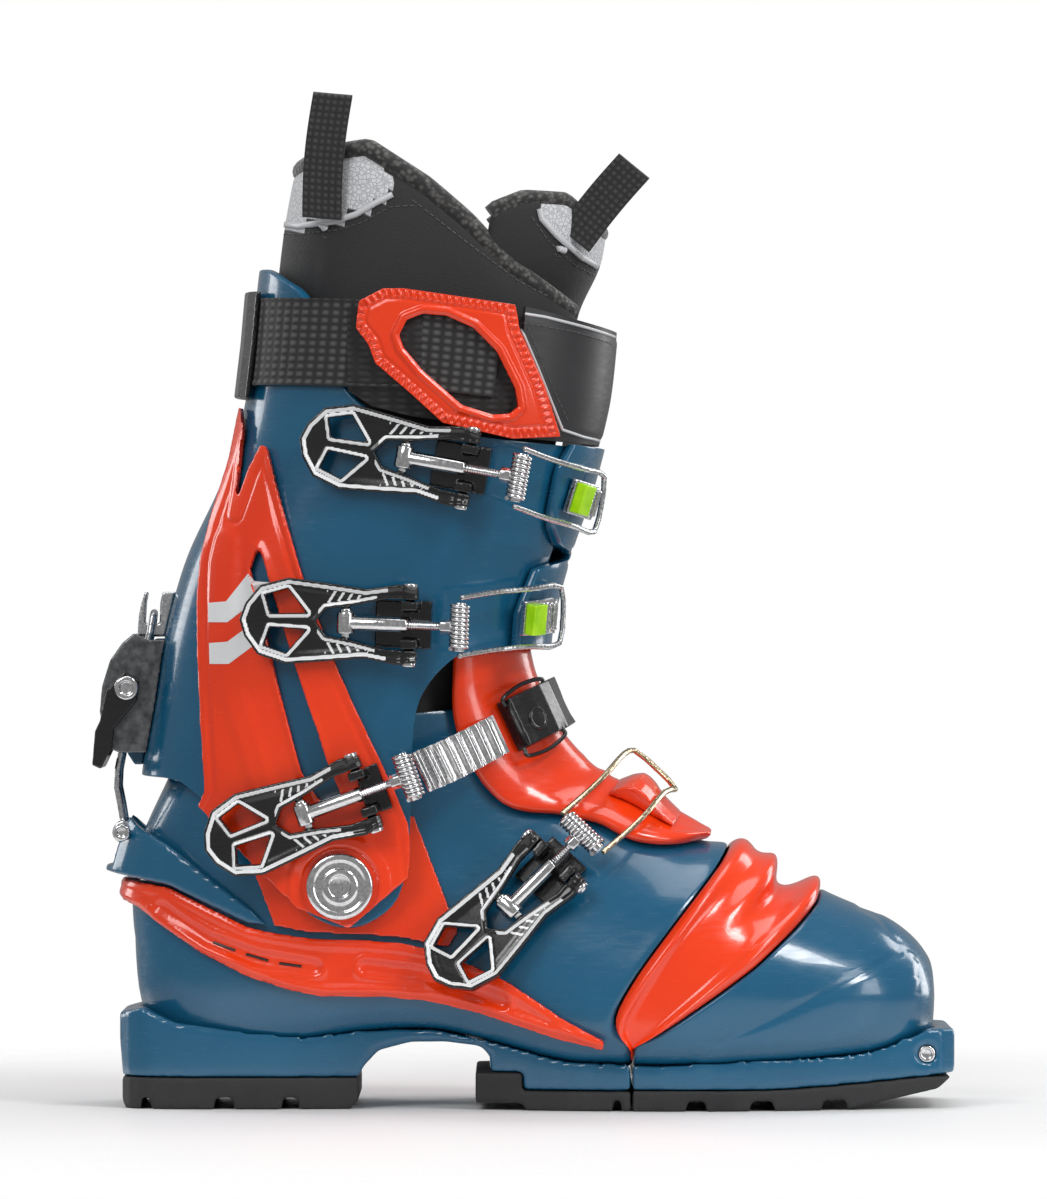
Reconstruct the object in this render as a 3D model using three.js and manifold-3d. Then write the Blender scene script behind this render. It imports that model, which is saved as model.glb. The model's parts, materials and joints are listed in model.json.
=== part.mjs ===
// A right-foot plastic ski boot for touring and free-heel skiing: hinged cuff, flexing toe, four buckles.
// Millimetres. +X towards the toe, +Y towards the inner side of the foot, +Z up, sole on z = 0.
import * as THREE from 'three';
import { mergeVertices } from 'three/addons/utils/BufferGeometryUtils.js';
import Module from 'manifold-3d';

const wasm = await Module();
wasm.setup();

// ---------------------------------------------------------------- driving sizes
const soleLength = 302;      // heel end to toe end of the sole
const lastWidth = 112;       // shell width over the ball of the foot
const bootHeight = 1;        // stretch of every height, 1 as designed
const shellWall = 4;
const cuffWall = 4;
const layerWall = 2.4;       // second-colour plastic laid over a shell
const fitGap = 0.3;          // between pieces that touch
const skinGap = 1.0;         // between curved skins laid over each other
const cuffClearance = 3.4;   // running gap between shell and cuff
const linerWall = 5;
const rubberHeight = 7;
const wireSize = 2.4;        // bail wire
const leverLength = 64;
const leverWidth = 31;
const leverPlate = 3.4;
const tubeSize = 5.4;        // buckle tube
const coilSize = 7;          // spring coil at the end of a buckle
const coilLength = 17.5;
const rivetHead = 24;        // cuff rivet
const rivetShank = 10;
const hingeGapX = 0.35;      // split of the sole under the toe hinge

const designSole = 302;
const designWidth = 112;
const alongScale = soleLength / designSole;
const widthScale = lastWidth / designWidth;

const ankle = { x: 32, z: 81 };               // cuff pivot
const toeHinge = { x: 137, z: 24 };
const X = (x) => ankle.x + (x - ankle.x) * alongScale;
const Z = (z) => z * bootHeight;
const side = (points) => points.map(([x, z]) => [X(x), Z(z)]);

const colours = {
  petrol: 0x1f5f86, orange: 0xe8431c, black: 0x16171a, steel: 0xb9bcc0, zinc: 0xc9b48a,
  lime: 0xb3dc12, grey: 0x8b8f94, rubber: 0x131313, fabric: 0x1d1e20, pale: 0xc9ccd0,
};
const finish = {
  plastic: [0.32, 0], rubber: [0.85, 0], metal: [0.28, 1], fabric: [0.95, 0], clear: [0.15, 0],
};

const boot = new THREE.Group();
boot.name = 'ski_boot';

// ---------------------------------------------------------------- solids
function meshOf(geometry, name, colour, kind) {
  const [roughness, metalness] = finish[kind];
  const mesh = new THREE.Mesh(geometry, new THREE.MeshStandardMaterial({ color: colour, roughness, metalness }));
  mesh.name = name;
  boot.add(mesh);
  return mesh;
}

function closed(geometry) {
  let g = geometry.clone();
  for (const key of Object.keys(g.attributes)) if (key !== 'position') g.deleteAttribute(key);
  g = mergeVertices(g, 1e-4);
  const p = g.attributes.position;
  const index = g.index.array;
  const keep = [];
  for (let i = 0; i < index.length; i += 3) {
    const [a, b, c] = [index[i], index[i + 1], index[i + 2]];
    if (a !== b && b !== c && a !== c) keep.push(a, b, c);
  }
  let volume = 0;
  const v = [0, 1, 2].map(() => new THREE.Vector3());
  for (let i = 0; i < keep.length; i += 3) {
    v.forEach((q, k) => q.fromBufferAttribute(p, keep[i + k]));
    volume += v[0].dot(v[1].clone().cross(v[2]));
  }
  if (volume < 0) for (let i = 0; i < keep.length; i += 3) [keep[i], keep[i + 1]] = [keep[i + 1], keep[i]];
  g.setIndex(keep);
  return g;
}

function toSolid(geometry) {
  const g = closed(geometry);
  const mesh = new wasm.Mesh({
    numProp: 3,
    vertProperties: new Float32Array(g.attributes.position.array),
    triVerts: new Uint32Array(g.index.array),
  });
  return new wasm.Manifold(mesh);
}

function fromSolid(solid) {
  const mesh = solid.getMesh();
  const geometry = new THREE.BufferGeometry();
  const points = [];
  for (let i = 0; i < mesh.numVert; i++) {
    points.push(...mesh.vertProperties.slice(i * mesh.numProp, i * mesh.numProp + 3));
  }
  geometry.setAttribute('position', new THREE.Float32BufferAttribute(points, 3));
  geometry.setIndex([...mesh.triVerts]);
  return geometry;
}

const join = (...parts) => fromSolid(parts.map(toSolid).reduce((a, b) => a.add(b)));
const cut = (part, ...tools) => fromSolid(tools.map(toSolid).reduce((a, b) => a.subtract(b), toSolid(part)));
const meet = (a, b) => fromSolid(toSolid(a).intersect(toSolid(b)));

// Outer and inner point grids [row][column] become a closed wall. A seamed grid wraps round;
// rows from openFrom on leave it open there. A cap closes the first row on a point.
function wall(outer, inner, { wraps = false, openFrom = Infinity, cap = null } = {}) {
  const triangles = [];
  const quad = (a, b, c, d) => triangles.push(a, b, c, a, c, d);
  const rows = outer.length;
  const last = outer[0].length - 1;
  for (let r = 0; r + 1 < rows; r++) {
    for (let c = 0; c < last; c++) {
      quad(outer[r][c], outer[r][c + 1], outer[r + 1][c + 1], outer[r + 1][c]);
      quad(inner[r][c], inner[r + 1][c], inner[r + 1][c + 1], inner[r][c + 1]);
    }
    if (!wraps || r >= openFrom) {
      quad(outer[r][0], outer[r + 1][0], inner[r + 1][0], inner[r][0]);
      quad(outer[r][last], inner[r][last], inner[r + 1][last], outer[r + 1][last]);
    }
  }
  for (let c = 0; c < last; c++) {
    const e = rows - 1;
    quad(outer[e][c], outer[e][c + 1], inner[e][c + 1], inner[e][c]);
    if (cap) {
      triangles.push(cap[0], outer[0][c + 1], outer[0][c]);
      triangles.push(cap[1], inner[0][c], inner[0][c + 1]);
    } else {
      quad(outer[0][c], inner[0][c], inner[0][c + 1], outer[0][c + 1]);
    }
  }
  return closed(new THREE.BufferGeometry().setFromPoints(triangles));
}

const steps = (from, to, count) => Array.from({ length: count + 1 }, (_, i) => from + ((to - from) * i) / count);

function grid(rows, columns, pointAt) {
  return rows.map((r) => columns.map((c) => pointAt(r, c)));
}

// A side-view outline as a prism right across the boot, or between two widths.
function prism(outline, yFrom, yTo) {
  const shape = new THREE.Shape(outline.map(([x, z]) => new THREE.Vector2(x, z)));
  const geometry = new THREE.ExtrudeGeometry(shape, { depth: yTo - yFrom, bevelEnabled: false, curveSegments: 8 });
  geometry.rotateX(Math.PI / 2);
  geometry.translate(0, yTo, 0);
  return geometry;
}

// A plan-view outline as a block between two heights.
function slab(outline, zFrom, zTo) {
  const shape = new THREE.Shape(outline.map(([x, y]) => new THREE.Vector2(x, y)));
  const geometry = new THREE.ExtrudeGeometry(shape, { depth: zTo - zFrom, bevelEnabled: false });
  geometry.translate(0, 0, zFrom);
  return geometry;
}

function drum(radius, from, to, sides = 20) {
  const length = from.distanceTo(to);
  const geometry = new THREE.CylinderGeometry(radius, radius, length, sides);
  geometry.translate(0, length / 2, 0);
  geometry.applyQuaternion(new THREE.Quaternion().setFromUnitVectors(
    new THREE.Vector3(0, 1, 0), to.clone().sub(from).normalize()));
  geometry.translate(from.x, from.y, from.z);
  return geometry;
}

function block(frame, from, to) {
  const geometry = new THREE.BoxGeometry(to[0] - from[0], to[1] - from[1], to[2] - from[2]);
  geometry.translate((from[0] + to[0]) / 2, (from[1] + to[1]) / 2, (from[2] + to[2]) / 2);
  return geometry.applyMatrix4(frame);
}

function wire(points, size, count, sides = 6) {
  const section = new THREE.Shape(steps(0, 1, sides - 1).map((_, i) => {
    const a = (2 * Math.PI * i) / sides;
    return new THREE.Vector2((size / 2) * Math.cos(a), (size / 2) * Math.sin(a));
  }));
  const path = new THREE.CatmullRomCurve3(points, false, 'centripetal');
  return new THREE.ExtrudeGeometry(section, { steps: count, extrudePath: path });
}

// ---------------------------------------------------------------- smooth tables
function through(points) {               // smooth function through [at, value] pairs
  const at = points.map((p) => p[0]);
  const value = points.map((p) => p[1]);
  const slope = value.map((_, i) => {
    const a = Math.max(i - 1, 0);
    const b = Math.min(i + 1, value.length - 1);
    return (value[b] - value[a]) / (at[b] - at[a]);
  });
  return (x) => {
    let i = at.findIndex((t) => t > x) - 1;
    if (i === -2) i = at.length - 2;
    i = Math.max(i, 0);
    const h = at[i + 1] - at[i];
    const u = (x - at[i]) / h;
    if (u < 0) return value[i] + slope[i] * (x - at[i]);
    if (u > 1) return value[i + 1] + slope[i + 1] * (x - at[i + 1]);
    const [u2, u3] = [u * u, u * u * u];
    return (2 * u3 - 3 * u2 + 1) * value[i] + (u3 - 2 * u2 + u) * h * slope[i]
      + (3 * u2 - 2 * u3) * value[i + 1] + (u3 - u2) * h * slope[i + 1];
  };
}

function straight(points) {              // straight lines through [at, value] pairs
  return (x) => {
    let i = points.findIndex((p) => p[0] > x) - 1;
    if (i === -2) i = points.length - 2;
    i = Math.max(i, 0);
    const [a, b] = [points[i], points[i + 1]];
    return a[1] + ((b[1] - a[1]) * Math.min(1, Math.max(0, (x - a[0]) / (b[0] - a[0]))));
  };
}

const signedPower = (v, p) => Math.sign(v) * Math.abs(v) ** p;
const mix = (a, b, u) => a + (b - a) * u;

function whereTrue(from, to, test) {     // the place where test turns true, by halving
  for (let i = 0; i < 40; i++) {
    const mid = (from + to) / 2;
    if (test(mid)) to = mid; else from = mid;
  }
  return (from + to) / 2;
}

// ---------------------------------------------------------------- foot surface
// Sections fan from the toe round the heel to the ankle:
// [sole x, sole z, top x, top z, half width, sideways shift].
const footSections = [
  [246.5, 22, 247.2, 52, 22, 5], [237.5, 19, 241.7, 60, 36, 4], [217, 17, 232, 67.6, 46, 3],
  [188, 15.3, 220, 72.7, 52, 2], [162.5, 14, 208, 78, 55, 1], [144, 14, 191.7, 87, 56, 0],
  [130.5, 14.5, 175, 95, 55.5, 0], [111.5, 15.3, 162, 96.5, 53, 0], [89.5, 21, 148, 103.7, 49, 0],
  [64, 27.5, 136, 110.6, 45, 0], [35, 25, 126, 115, 42, 0], [2, 17, 119, 119.5, 40.5, 0],
  [-27.5, 18, 113.5, 125, 39.5, 0], [-41, 34.5, 108, 131.5, 39, 0], [-44, 60, 103.5, 138.5, 39, 0],
  [-45, 78, 100, 147, 39.5, 0], [-42, 96.5, 96.5, 156, 40, 0], [-33, 116.5, 94.5, 165, 40.5, 0],
  [-25.5, 133, 93, 174, 41, 0],
];
const lastSection = footSections.length - 1;
const footColumn = [0, 1, 2, 3, 4, 5].map((k) => through(footSections.map((s, i) => [i, s[k]])));
const footBottomShape = through([[0, 2.6], [3, 3.4], [9, 3.2], [12, 2.6], [14, 2.3], [lastSection, 2.2]]);
const footLow = through([[0, 1.05], [3, 1.35], [9, 1.3], [13, 1.05], [lastSection, 1]]);
const footTopShape = 2.15;

function footPoint(s, a, offset = 0) {
  const [bx, bz, tx, tz, half, shift] = footColumn.map((f) => f(s));
  const foot = new THREE.Vector2(X(bx), Z(bz));
  const top = new THREE.Vector2(X(tx), Z(tz));
  const along = top.clone().sub(foot);
  const height = along.length();
  along.normalize();
  const power = 2 / (Math.cos(a) > 0 ? footTopShape : footBottomShape(s));
  const up = ((1 + signedPower(Math.cos(a), power)) / 2) ** footLow(s);
  const place = foot.addScaledVector(along, -offset + (height + 2 * offset) * up);
  const out = (half * widthScale + offset) * signedPower(Math.sin(a), power);
  return new THREE.Vector3(place.x, shift - out, place.y);
}

// Section and angle of the outer-side point seen at (x, z) from the side.
function footPlace(x, z) {
  let best = [Infinity, 0, 0];
  const seek = (s0, s1, a0, a1, n) => {
    for (const s of steps(s0, s1, n)) {
      for (const a of steps(a0, a1, n)) {
        const p = footPoint(s, a);
        const d = Math.hypot(p.x - x, p.z - z);
        if (d < best[0]) best = [d, s, a];
      }
    }
  };
  seek(0, lastSection, 0.02, Math.PI - 0.02, 60);
  for (const reach of [0.4, 0.07, 0.012]) {
    const [, s, a] = best;
    seek(s - reach, s + reach, Math.max(0.01, a - reach / 3), Math.min(Math.PI - 0.01, a + reach / 3), 12);
  }
  return [best[1], best[2]];
}

// ---------------------------------------------------------------- cuff surface
const cuffRear = through([[60, -40], [90, -42], [120, -41.5], [150, -36.5], [171, -33], [199, -25.2], [228, -12],
  [256, -3.7], [304, 1.5], [325, 5.5], [350, 8]].map(([z, x]) => [Z(z), X(x)]));
const cuffFront = through([[60, 128], [90, 126], [110, 120], [130, 112], [150, 106], [170, 104], [200, 111], [222, 118.5], [240, 123.5],
  [258, 127.5], [285, 130.5], [318, 135], [350, 139]].map(([z, x]) => [Z(z), X(x)]));
const ankleHalf = 39.5;
const cuffHalf = through([[60, 0.6], [81, 0.6], [110, 1], [140, 2.5], [170, 4.2], [240, 7.5], [304, 9], [350, 9.5]]
  .map(([z, flare]) => [Z(z), ankleHalf * widthScale + cuffClearance + cuffWall + flare]));
const cuffShape = 2.35;

function cuffPoint(t, z, offset = 0) {
  const [rear, front] = [cuffRear(z), cuffFront(z)];
  const power = 2 / cuffShape;
  const deep = (front - rear) / 2 + offset;
  const out = (cuffHalf(z) + offset) * signedPower(Math.sin(t), power);
  return new THREE.Vector3((rear + front) / 2 + deep * signedPower(Math.cos(t), power), -out, z);
}

function cuffAngle(x, z) {               // on the outer half: 0 at the front, pi at the rear
  const [rear, front] = [cuffRear(z), cuffFront(z)];
  const c = Math.min(1, Math.max(-1, (x - (rear + front) / 2) / ((front - rear) / 2)));
  return Math.acos(signedPower(c, cuffShape / 2));
}

// Where a piece of hardware stands: point, outward direction and side-view heading.
const surfaces = {
  cuff: (x, z, offset) => cuffPoint(cuffAngle(x, z), z, offset),
  foot: (x, z, offset) => footPoint(...footPlace(x, z), offset),
};
function normalAt(surface, x, z) {
  const p = surface(x, z, 0);
  const u = surface(x + 2, z, 0).sub(p);
  const v = surface(x, z + 2, 0).sub(p);
  const n = u.cross(v).normalize();
  return n.y > 0 ? n.negate() : n;
}

// ---------------------------------------------------------------- lower shell, bellows and toe
const around = 30;
// Side-view edges of the bellows, height first. Below the hinge both run straight down.
const bellowsRear = straight(side([[toeHinge.x - hingeGapX, 0], [toeHinge.x - hingeGapX, 24], [131.5, 27],
  [129.5, 32], [131, 37.5], [141, 52.5], [153.5, 69], [169, 88.5], [174.5, 97], [180, 105]]).map(([x, z]) => [z, x]));
const bellowsFront = straight(side([[toeHinge.x + hingeGapX, 0], [toeHinge.x + hingeGapX, 24], [143, 25.5],
  [151, 30], [167, 41], [182, 52], [197, 66], [205, 74.5], [208, 82], [211, 92]]).map(([x, z]) => [z, x]));
const sectionAt = (edge, a, offset) => whereTrue(1, 9, (s) => {
  const p = footPoint(s, a, offset);
  return p.x < edge(p.z);
});

const throatStart = 7.4;
const throat = (s) => Math.max(0, Math.min(0.4, (s - throatStart) * 0.3));
const shellTop = (a) => mix(15, lastSection, ((1 - Math.cos(a)) / 2) ** 0.45);

function lowerShell() {
  const rowCount = 18;
  const openRow = 2;
  const layer = (offset) => steps(0, rowCount, rowCount).map((r) => steps(0, 1, around).map((u) => {
    const flat = 2 * Math.PI * u;
    const start = sectionAt(bellowsRear, flat, 0);
    const ease = Math.max(0, r - openRow) / (rowCount - openRow);
    const s = r <= openRow ? mix(start, mix(start, throatStart, 0.9) , r / openRow)
      : mix(mix(start, throatStart, 0.9), shellTop(flat), ease);
    const gap = r <= openRow ? 0 : throat(s);
    return footPoint(s, gap + (2 * Math.PI - 2 * gap) * u, offset);
  }));
  return wall(layer(0), layer(-shellWall), { wraps: true, openFrom: openRow });
}

function toeShell() {
  const rowCount = 6;
  const layer = (offset) => steps(0, 1, rowCount).map((u) => steps(0, 1, around).map((v) => {
    const a = 2 * Math.PI * v;
    return footPoint(mix(-0.05, sectionAt(bellowsFront, a, 0), u ** 0.85), a, offset);
  }));
  const tip = (offset) => new THREE.Vector3(X(248.7) + offset, 5, Z(39));
  const inside = layer(-shellWall).map((row) => row.map((p) => p.setX(Math.min(p.x, X(248.7) - shellWall))));
  return wall(layer(0), inside, { wraps: true, cap: [tip(0), tip(-shellWall)] });
}

// Rolled rims and one deep fold. The ends taper to the hinge line.
const bellowsFold = through([[0, 0.4], [0.12, 3], [0.28, 1.2], [0.45, 3.4], [0.62, -5.5], [0.74, -4.5], [0.9, 3], [1, 0.4]]);
function bellows() {
  const reach = 11;                      // columns down each side, on the shells' own angles
  const seam = 0.03;                     // share of a section left clear along each edge
  const across = steps(0, 1, 8);
  const layer = (offset) => across.map((w) => steps(-reach, reach, 2 * reach).map((k) => {
    const a = (2 * Math.PI * k) / around;
    const [rear, front] = [sectionAt(bellowsRear, a, 0) - seam, sectionAt(bellowsFront, a, 0) + seam];
    const fade = 1 - Math.abs(k / reach) ** 6;
    return footPoint(mix(rear, front, w), a, bellowsFold(w) * fade + offset);
  }));
  return wall(layer(0), layer(-2.2));
}

meshOf(toeShell(), 'toe_shell', colours.petrol, 'plastic');
meshOf(bellows(), 'bellows', colours.orange, 'plastic');


// ---------------------------------------------------------------- second-colour pieces on the shell
const footLayer = (sections, angles, from, to) => wall(
  grid(sections, angles, (s, a) => footPoint(s, a, typeof to === 'function' ? to(a) : to)),
  grid(sections, angles, (s, a) => footPoint(s, a, from)));

const shellBore = prism(steps(0, 1, 15).slice(1).map((u) => [
  X(ankle.x) + (rivetShank / 2 + fitGap) * Math.cos(2 * Math.PI * u),
  Z(ankle.z) + (rivetShank / 2 + fitGap) * Math.sin(2 * Math.PI * u)]), -90, 90);

const beamTop = [[-58, 85], [-30.5, 80], [-17, 73.5], [-1.5, 66], [7.5, 64], [21, 62], [42, 61.3], [54.5, 60.3],
  [68, 57.4], [81.5, 51.5], [92.5, 46.5], [104, 39], [112, 33.5], [127, 25.5]];
const beamBottom = [[127, 22.6], [111.5, 26], [92.5, 32], [81.5, 35.6], [64.5, 39.5], [47.5, 41], [25.5, 41],
  [14.5, 43], [-1.5, 48], [-19, 56.8], [-32.5, 66], [-41.5, 72.5], [-58, 78.5]];
const edgeGap = 0.9;                     // between neighbouring edges on the shell
const raise = (points, dz) => points.map(([x, z]) => [x, z + dz]);
const sideBeam = meet(
  footLayer(steps(5.6, 16.6, 18), steps(1, 2 * Math.PI - 1, 26), skinGap, skinGap + 2.6),
  prism(side([...beamTop, ...beamBottom]), -90, 90));
meshOf(cut(lowerShell(), shellBore), 'lower_shell', colours.petrol, 'plastic');
meshOf(sideBeam, 'side_beam', colours.orange, 'plastic');

const panelOutline = [[0, 88], [8, 66.5], [21, 64], [42, 63.2], [54.5, 62.2], [71, 58.8], [74.5, 64.5], [58.5, 106],
  [30, 112]];
const panelLayer = footLayer(steps(9.2, 15.4, 8), steps(0.7, 2 * Math.PI - 0.7, 24), skinGap, skinGap + 1.2);
for (const [name, from, to] of [['ankle_panel_lateral', -90, -1], ['ankle_panel_medial', 1, 90]]) {
  meshOf(cut(meet(panelLayer, prism(side(panelOutline), from, to)), shellBore), name, colours.orange, 'plastic');
}

// Spoiler collar round the heel: two horns stand clear of the walk bar between them.
const spoilerAxle = { x: -47.8, z: 99.5 };
const hornGap = 12.6;
const spoilerOutline = [[-60, 114], [-52.2, 109.5], [-47, 107.7], [-41, 101], [-30.5, 95.5], [-17, 84.8], [-1.5, 73.6],
  [6, 66.5], ...raise(beamTop.slice(1, 4).reverse(), edgeGap), [-58, 86], [-60, 98]];
const spoilerFat = (a) => 3.4 + 9.4 * ((1 - Math.cos(a)) / 2) ** 9;
const axleBore = prism(steps(0, 1, 12).slice(1).map((u) => [X(spoilerAxle.x) + 2.4 * Math.cos(2 * Math.PI * u),
  Z(spoilerAxle.z) + 2.4 * Math.sin(2 * Math.PI * u)]), -90, 90);
meshOf(cut(
  meet(footLayer(steps(11.6, 17.6, 9), steps(1.15, 2 * Math.PI - 1.15, 30), skinGap, spoilerFat),
    prism(side(spoilerOutline), -90, 90)),
  prism(side([[-80, 88], [-20, 88], [-20, 130], [-80, 130]]), -hornGap, hornGap),
  axleBore), 'rear_spoiler', colours.petrol, 'plastic');
meshOf(drum(2.1, new THREE.Vector3(X(spoilerAxle.x), -22, Z(spoilerAxle.z)),
  new THREE.Vector3(X(spoilerAxle.x), 22, Z(spoilerAxle.z)), 12), 'spoiler_axle', colours.steel, 'metal');

// ---------------------------------------------------------------- soles
const soleHalf = through([[-48.6, 20], [-44, 28], [-34, 33], [-15, 35], [15, 34.5], [45, 32], [65, 32.5], [90, 39],
  [120, 45.5], [150, 48.5], [178, 47.5], [203, 43], [224, 38], [240, 35.5], [250, 34], [254.4, 29]]);
function soleFill() {
  const xs = [...steps(-48.6, -34, 4), ...steps(-25, 224, 18), ...steps(232, 254.4, 5)];
  const edge = xs.map((x) => [X(x), soleHalf(x) * widthScale]);
  const shift = (x) => 3 * Math.max(0, (x - X(180)) / 70);
  return [...edge.map(([x, y]) => [x, -y + shift(x)]), ...edge.reverse().map(([x, y]) => [x, y + shift(x)])];
}
const soleSlab = slab(soleFill(), -2, 44);
function rings(rows) {                   // closed rows of points as a filled solid
  const triangles = [];
  const middle = (row) => row.slice(1).reduce((a, p) => a.add(p), new THREE.Vector3()).divideScalar(row.length - 1);
  const last = rows.length - 1;
  for (let c = 0; c + 1 < rows[0].length; c++) {
    for (let r = 0; r < last; r++) {
      triangles.push(rows[r][c], rows[r][c + 1], rows[r + 1][c + 1], rows[r][c], rows[r + 1][c + 1], rows[r + 1][c]);
    }
    triangles.push(middle(rows[0]), rows[0][c + 1], rows[0][c]);
    triangles.push(middle(rows[last]), rows[last][c], rows[last][c + 1]);
  }
  return closed(new THREE.BufferGeometry().setFromPoints(triangles));
}
const footFill = rings([new THREE.Vector3(X(248.7) + skinGap, 5, Z(39))].map((tip) => steps(0, 1, around).map(
  (v) => footPoint(-0.05, 2 * Math.PI * v, skinGap).lerp(tip, 0.98))).concat(
  grid(steps(-0.05, 15, 30), steps(0, 1, around), (s, v) => footPoint(s, 2 * Math.PI * v, skinGap))));

const blockTop = [[-49, 34.5], [-40, 36.5], [-28, 31], [0, 27.5], [35, 28.5], [62, 32], [92, 27.5], [120, 22],
  [137, 18.5], [152, 17.5], [184, 19], [208, 22], [239.5, 26], [245, 28.8], [256, 28.8]];
const archEdge = [[38.4, 11.5], [40.2, 15.3], [45.6, 21], [57, 24], [70, 24.2], [82.5, 22.8], [85.8, 19.5], [86, 13.8]];
const splitRear = toeHinge.x - hingeGapX;
const splitFront = toeHinge.x + hingeGapX;
const heightAt = (points, x) => straight(points)(x);
const rubberTop = (x) => 7.2 + 5.4 * Math.max(0, (x - 184) / 70) ** 1.4;
const blockRear = [...blockTop.filter(([x]) => x < splitRear), [splitRear, heightAt(blockTop, splitRear)],
  [splitRear, rubberHeight + fitGap], [98, rubberHeight + fitGap], [98, 13.8], ...[...archEdge].reverse(),
  [38, 11.5], [-47.5, 11.5], [-49, 30]];
const frontXs = steps(splitFront, 256, 10);
const blockFront = [[splitFront, heightAt(blockTop, splitFront)], ...blockTop.filter(([x]) => x > splitFront),
  ...[...frontXs].reverse().map((x) => [x, rubberTop(x) + fitGap])];
const insertAt = { x: 244, z: 19.7 };
const insertBore = (from, to) => prism(steps(0, 1, 14).slice(1).map((u) => [X(insertAt.x) + 3.4 * Math.cos(2 * Math.PI * u),
  Z(insertAt.z) + 3.4 * Math.sin(2 * Math.PI * u)]), from * widthScale, to * widthScale);
meshOf(cut(meet(soleSlab, prism(side(blockRear), -70, 70)), footFill), 'sole_frame_rear', colours.petrol, 'plastic');
meshOf(cut(meet(soleSlab, prism(side(blockFront), -70, 70)), footFill, insertBore(-60, -25.6), insertBore(31.6, 60)), 'sole_frame_toe',
  colours.petrol, 'plastic');
for (const [name, y0, y1] of [['toe_insert_lateral', -31.4, -26], ['toe_insert_medial', 32, 37.4]]) {
  meshOf(drum(3.1, new THREE.Vector3(X(insertAt.x), y0 * widthScale, Z(insertAt.z)),
    new THREE.Vector3(X(insertAt.x), y1 * widthScale, Z(insertAt.z)), 14), name, colours.steel, 'metal');
}

// Rubber with lug gaps right across: [start, end, depth].
function rubber(outline, gaps) {
  const tools = gaps.map(([from, to, depth]) => prism(side([[from, -3], [to, -3], [to - 1.2, depth], [from + 1.2, depth]]),
    -70, 70));
  return cut(meet(soleSlab, prism(side(outline), -70, 70)), ...tools);
}
meshOf(rubber([[-46.5, 0], [35.5, 0], [38.4, 3], [38.4, 11.2], [-47.6, 11.2], [-47.6, 3]],
  [[-41, -36, 4], [-14.5, -6, 4], [10, 17.5, 4]]), 'heel_outsole', colours.rubber, 'rubber');
meshOf(rubber([[80.7, 2.4], [97.5, 2.4], [99, 0], [splitRear, 0], [splitRear, rubberHeight], [97.7, rubberHeight],
  [97.7, 13.5], [80.7, 13.5]], [[129.5, 134, 4]]), 'ball_outsole', colours.rubber, 'rubber');
meshOf(rubber([[splitFront, 0], [214, 0], [232, 3.6], [248, 7.2], [253.4, 11.6],
  ...[...frontXs].reverse().filter((x) => x < 253).map((x) => [x, rubberTop(x)])],
  [[156, 164.5, 3.4], [179, 189, 3.4], [205, 215.5, 3.4]]), 'toe_outsole', colours.rubber, 'rubber');

// ---------------------------------------------------------------- instep tongue
const tongueOutline = side([[70.8, 168], [70.1, 147.5], [70.8, 139], [74, 129], [81, 116.5], [89, 108.3], [98, 105.3],
  [106.5, 105.5], [125.5, 101.3], [132, 96.5], [140.5, 94], [151, 93], [161, 94.5], [165, 97], [172, 140], [110, 210],
  [70, 210]]);
const inside = (outline, x, z) => outline.reduce((odd, [x1, z1], i) => {
  const [x0, z0] = outline.at(i - 1);
  return (z0 > z) !== (z1 > z) && x < ((x1 - x0) * (z - z0)) / (z1 - z0) + x0 ? !odd : odd;
}, false);
const tongueReach = (s) => whereTrue(0.03, 2.2, (a) => {
  const p = footPoint(s, a);
  return !inside(tongueOutline, p.x, p.z);
});
const tongueTip = 6.78;
const tongueRows = steps(tongueTip, lastSection + 0.2, 16);
const tongueColumns = steps(-1, 1, 10);
const tongueGrid = (offset) => grid(tongueRows, tongueColumns, (s, v) => footPoint(s, v * tongueReach(s), offset));
const tongueWall = 3.4;
const tongueGap = 1.8;
meshOf(wall(tongueGrid(tongueGap + tongueWall), tongueGrid(tongueGap)), 'instep_tongue', colours.orange, 'plastic');

const ridgeRise = through([[7.7, 0.8], [8.3, 3.2], [8.8, 6], [9.3, 6.5], [9.7, 1]]);
meshOf(wall(grid(steps(7.7, 9.7, 8), steps(-0.4, 0.4, 6), (s, a) => footPoint(s, a, tongueWall + tongueGap + 0.5 + ridgeRise(s))),
  grid(steps(7.7, 9.7, 8), steps(-0.4, 0.4, 6), (s, a) => footPoint(s, a, tongueWall + tongueGap + 0.5))),
  'toe_catch', colours.orange, 'plastic');

// ---------------------------------------------------------------- cuff
const cuffBottom = straight([[-60, 121], [-32, 119.4], [-26, 118], [-17.5, 111.4], [-10.6, 102], [-0.7, 91], [9, 82.3],
  [15, 75.3], [22, 69.5], [31, 65.6], [40.5, 66], [50, 71.8], [55.5, 80], [57.3, 90], [57.8, 131], [59.3, 145],
  [62.5, 152], [67.3, 158], [74, 164], [92, 166.5], [110, 165.4]].map(([x, z]) => [X(x), Z(z)]));
const cuffTop = through([[-40, 305], [2, 304.5], [10, 300], [18.5, 293.5], [25.5, 279], [32.5, 262], [42, 252.5],
  [53, 248], [82, 243], [111, 240], [131, 238.5]].map(([x, z]) => [X(x), Z(z)]));
const cuffStart = 0.3;
const cuffEnd = 2 * Math.PI + 0.75;
const flapEnd = straight([[165, 92], [179, 93], [187, 96], [195.5, 99.5], [198.5, 110], [201, 113], [203.5, 107.5],
  [210, 104.8], [216, 104.8], [232, 108], [241, 113]].map(([z, x]) => [Z(z), X(x)]));
const smooth = (from, to, x) => {
  const u = Math.min(1, Math.max(0, (x - from) / (to - from)));
  return u * u * (3 - 2 * u);
};
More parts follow.
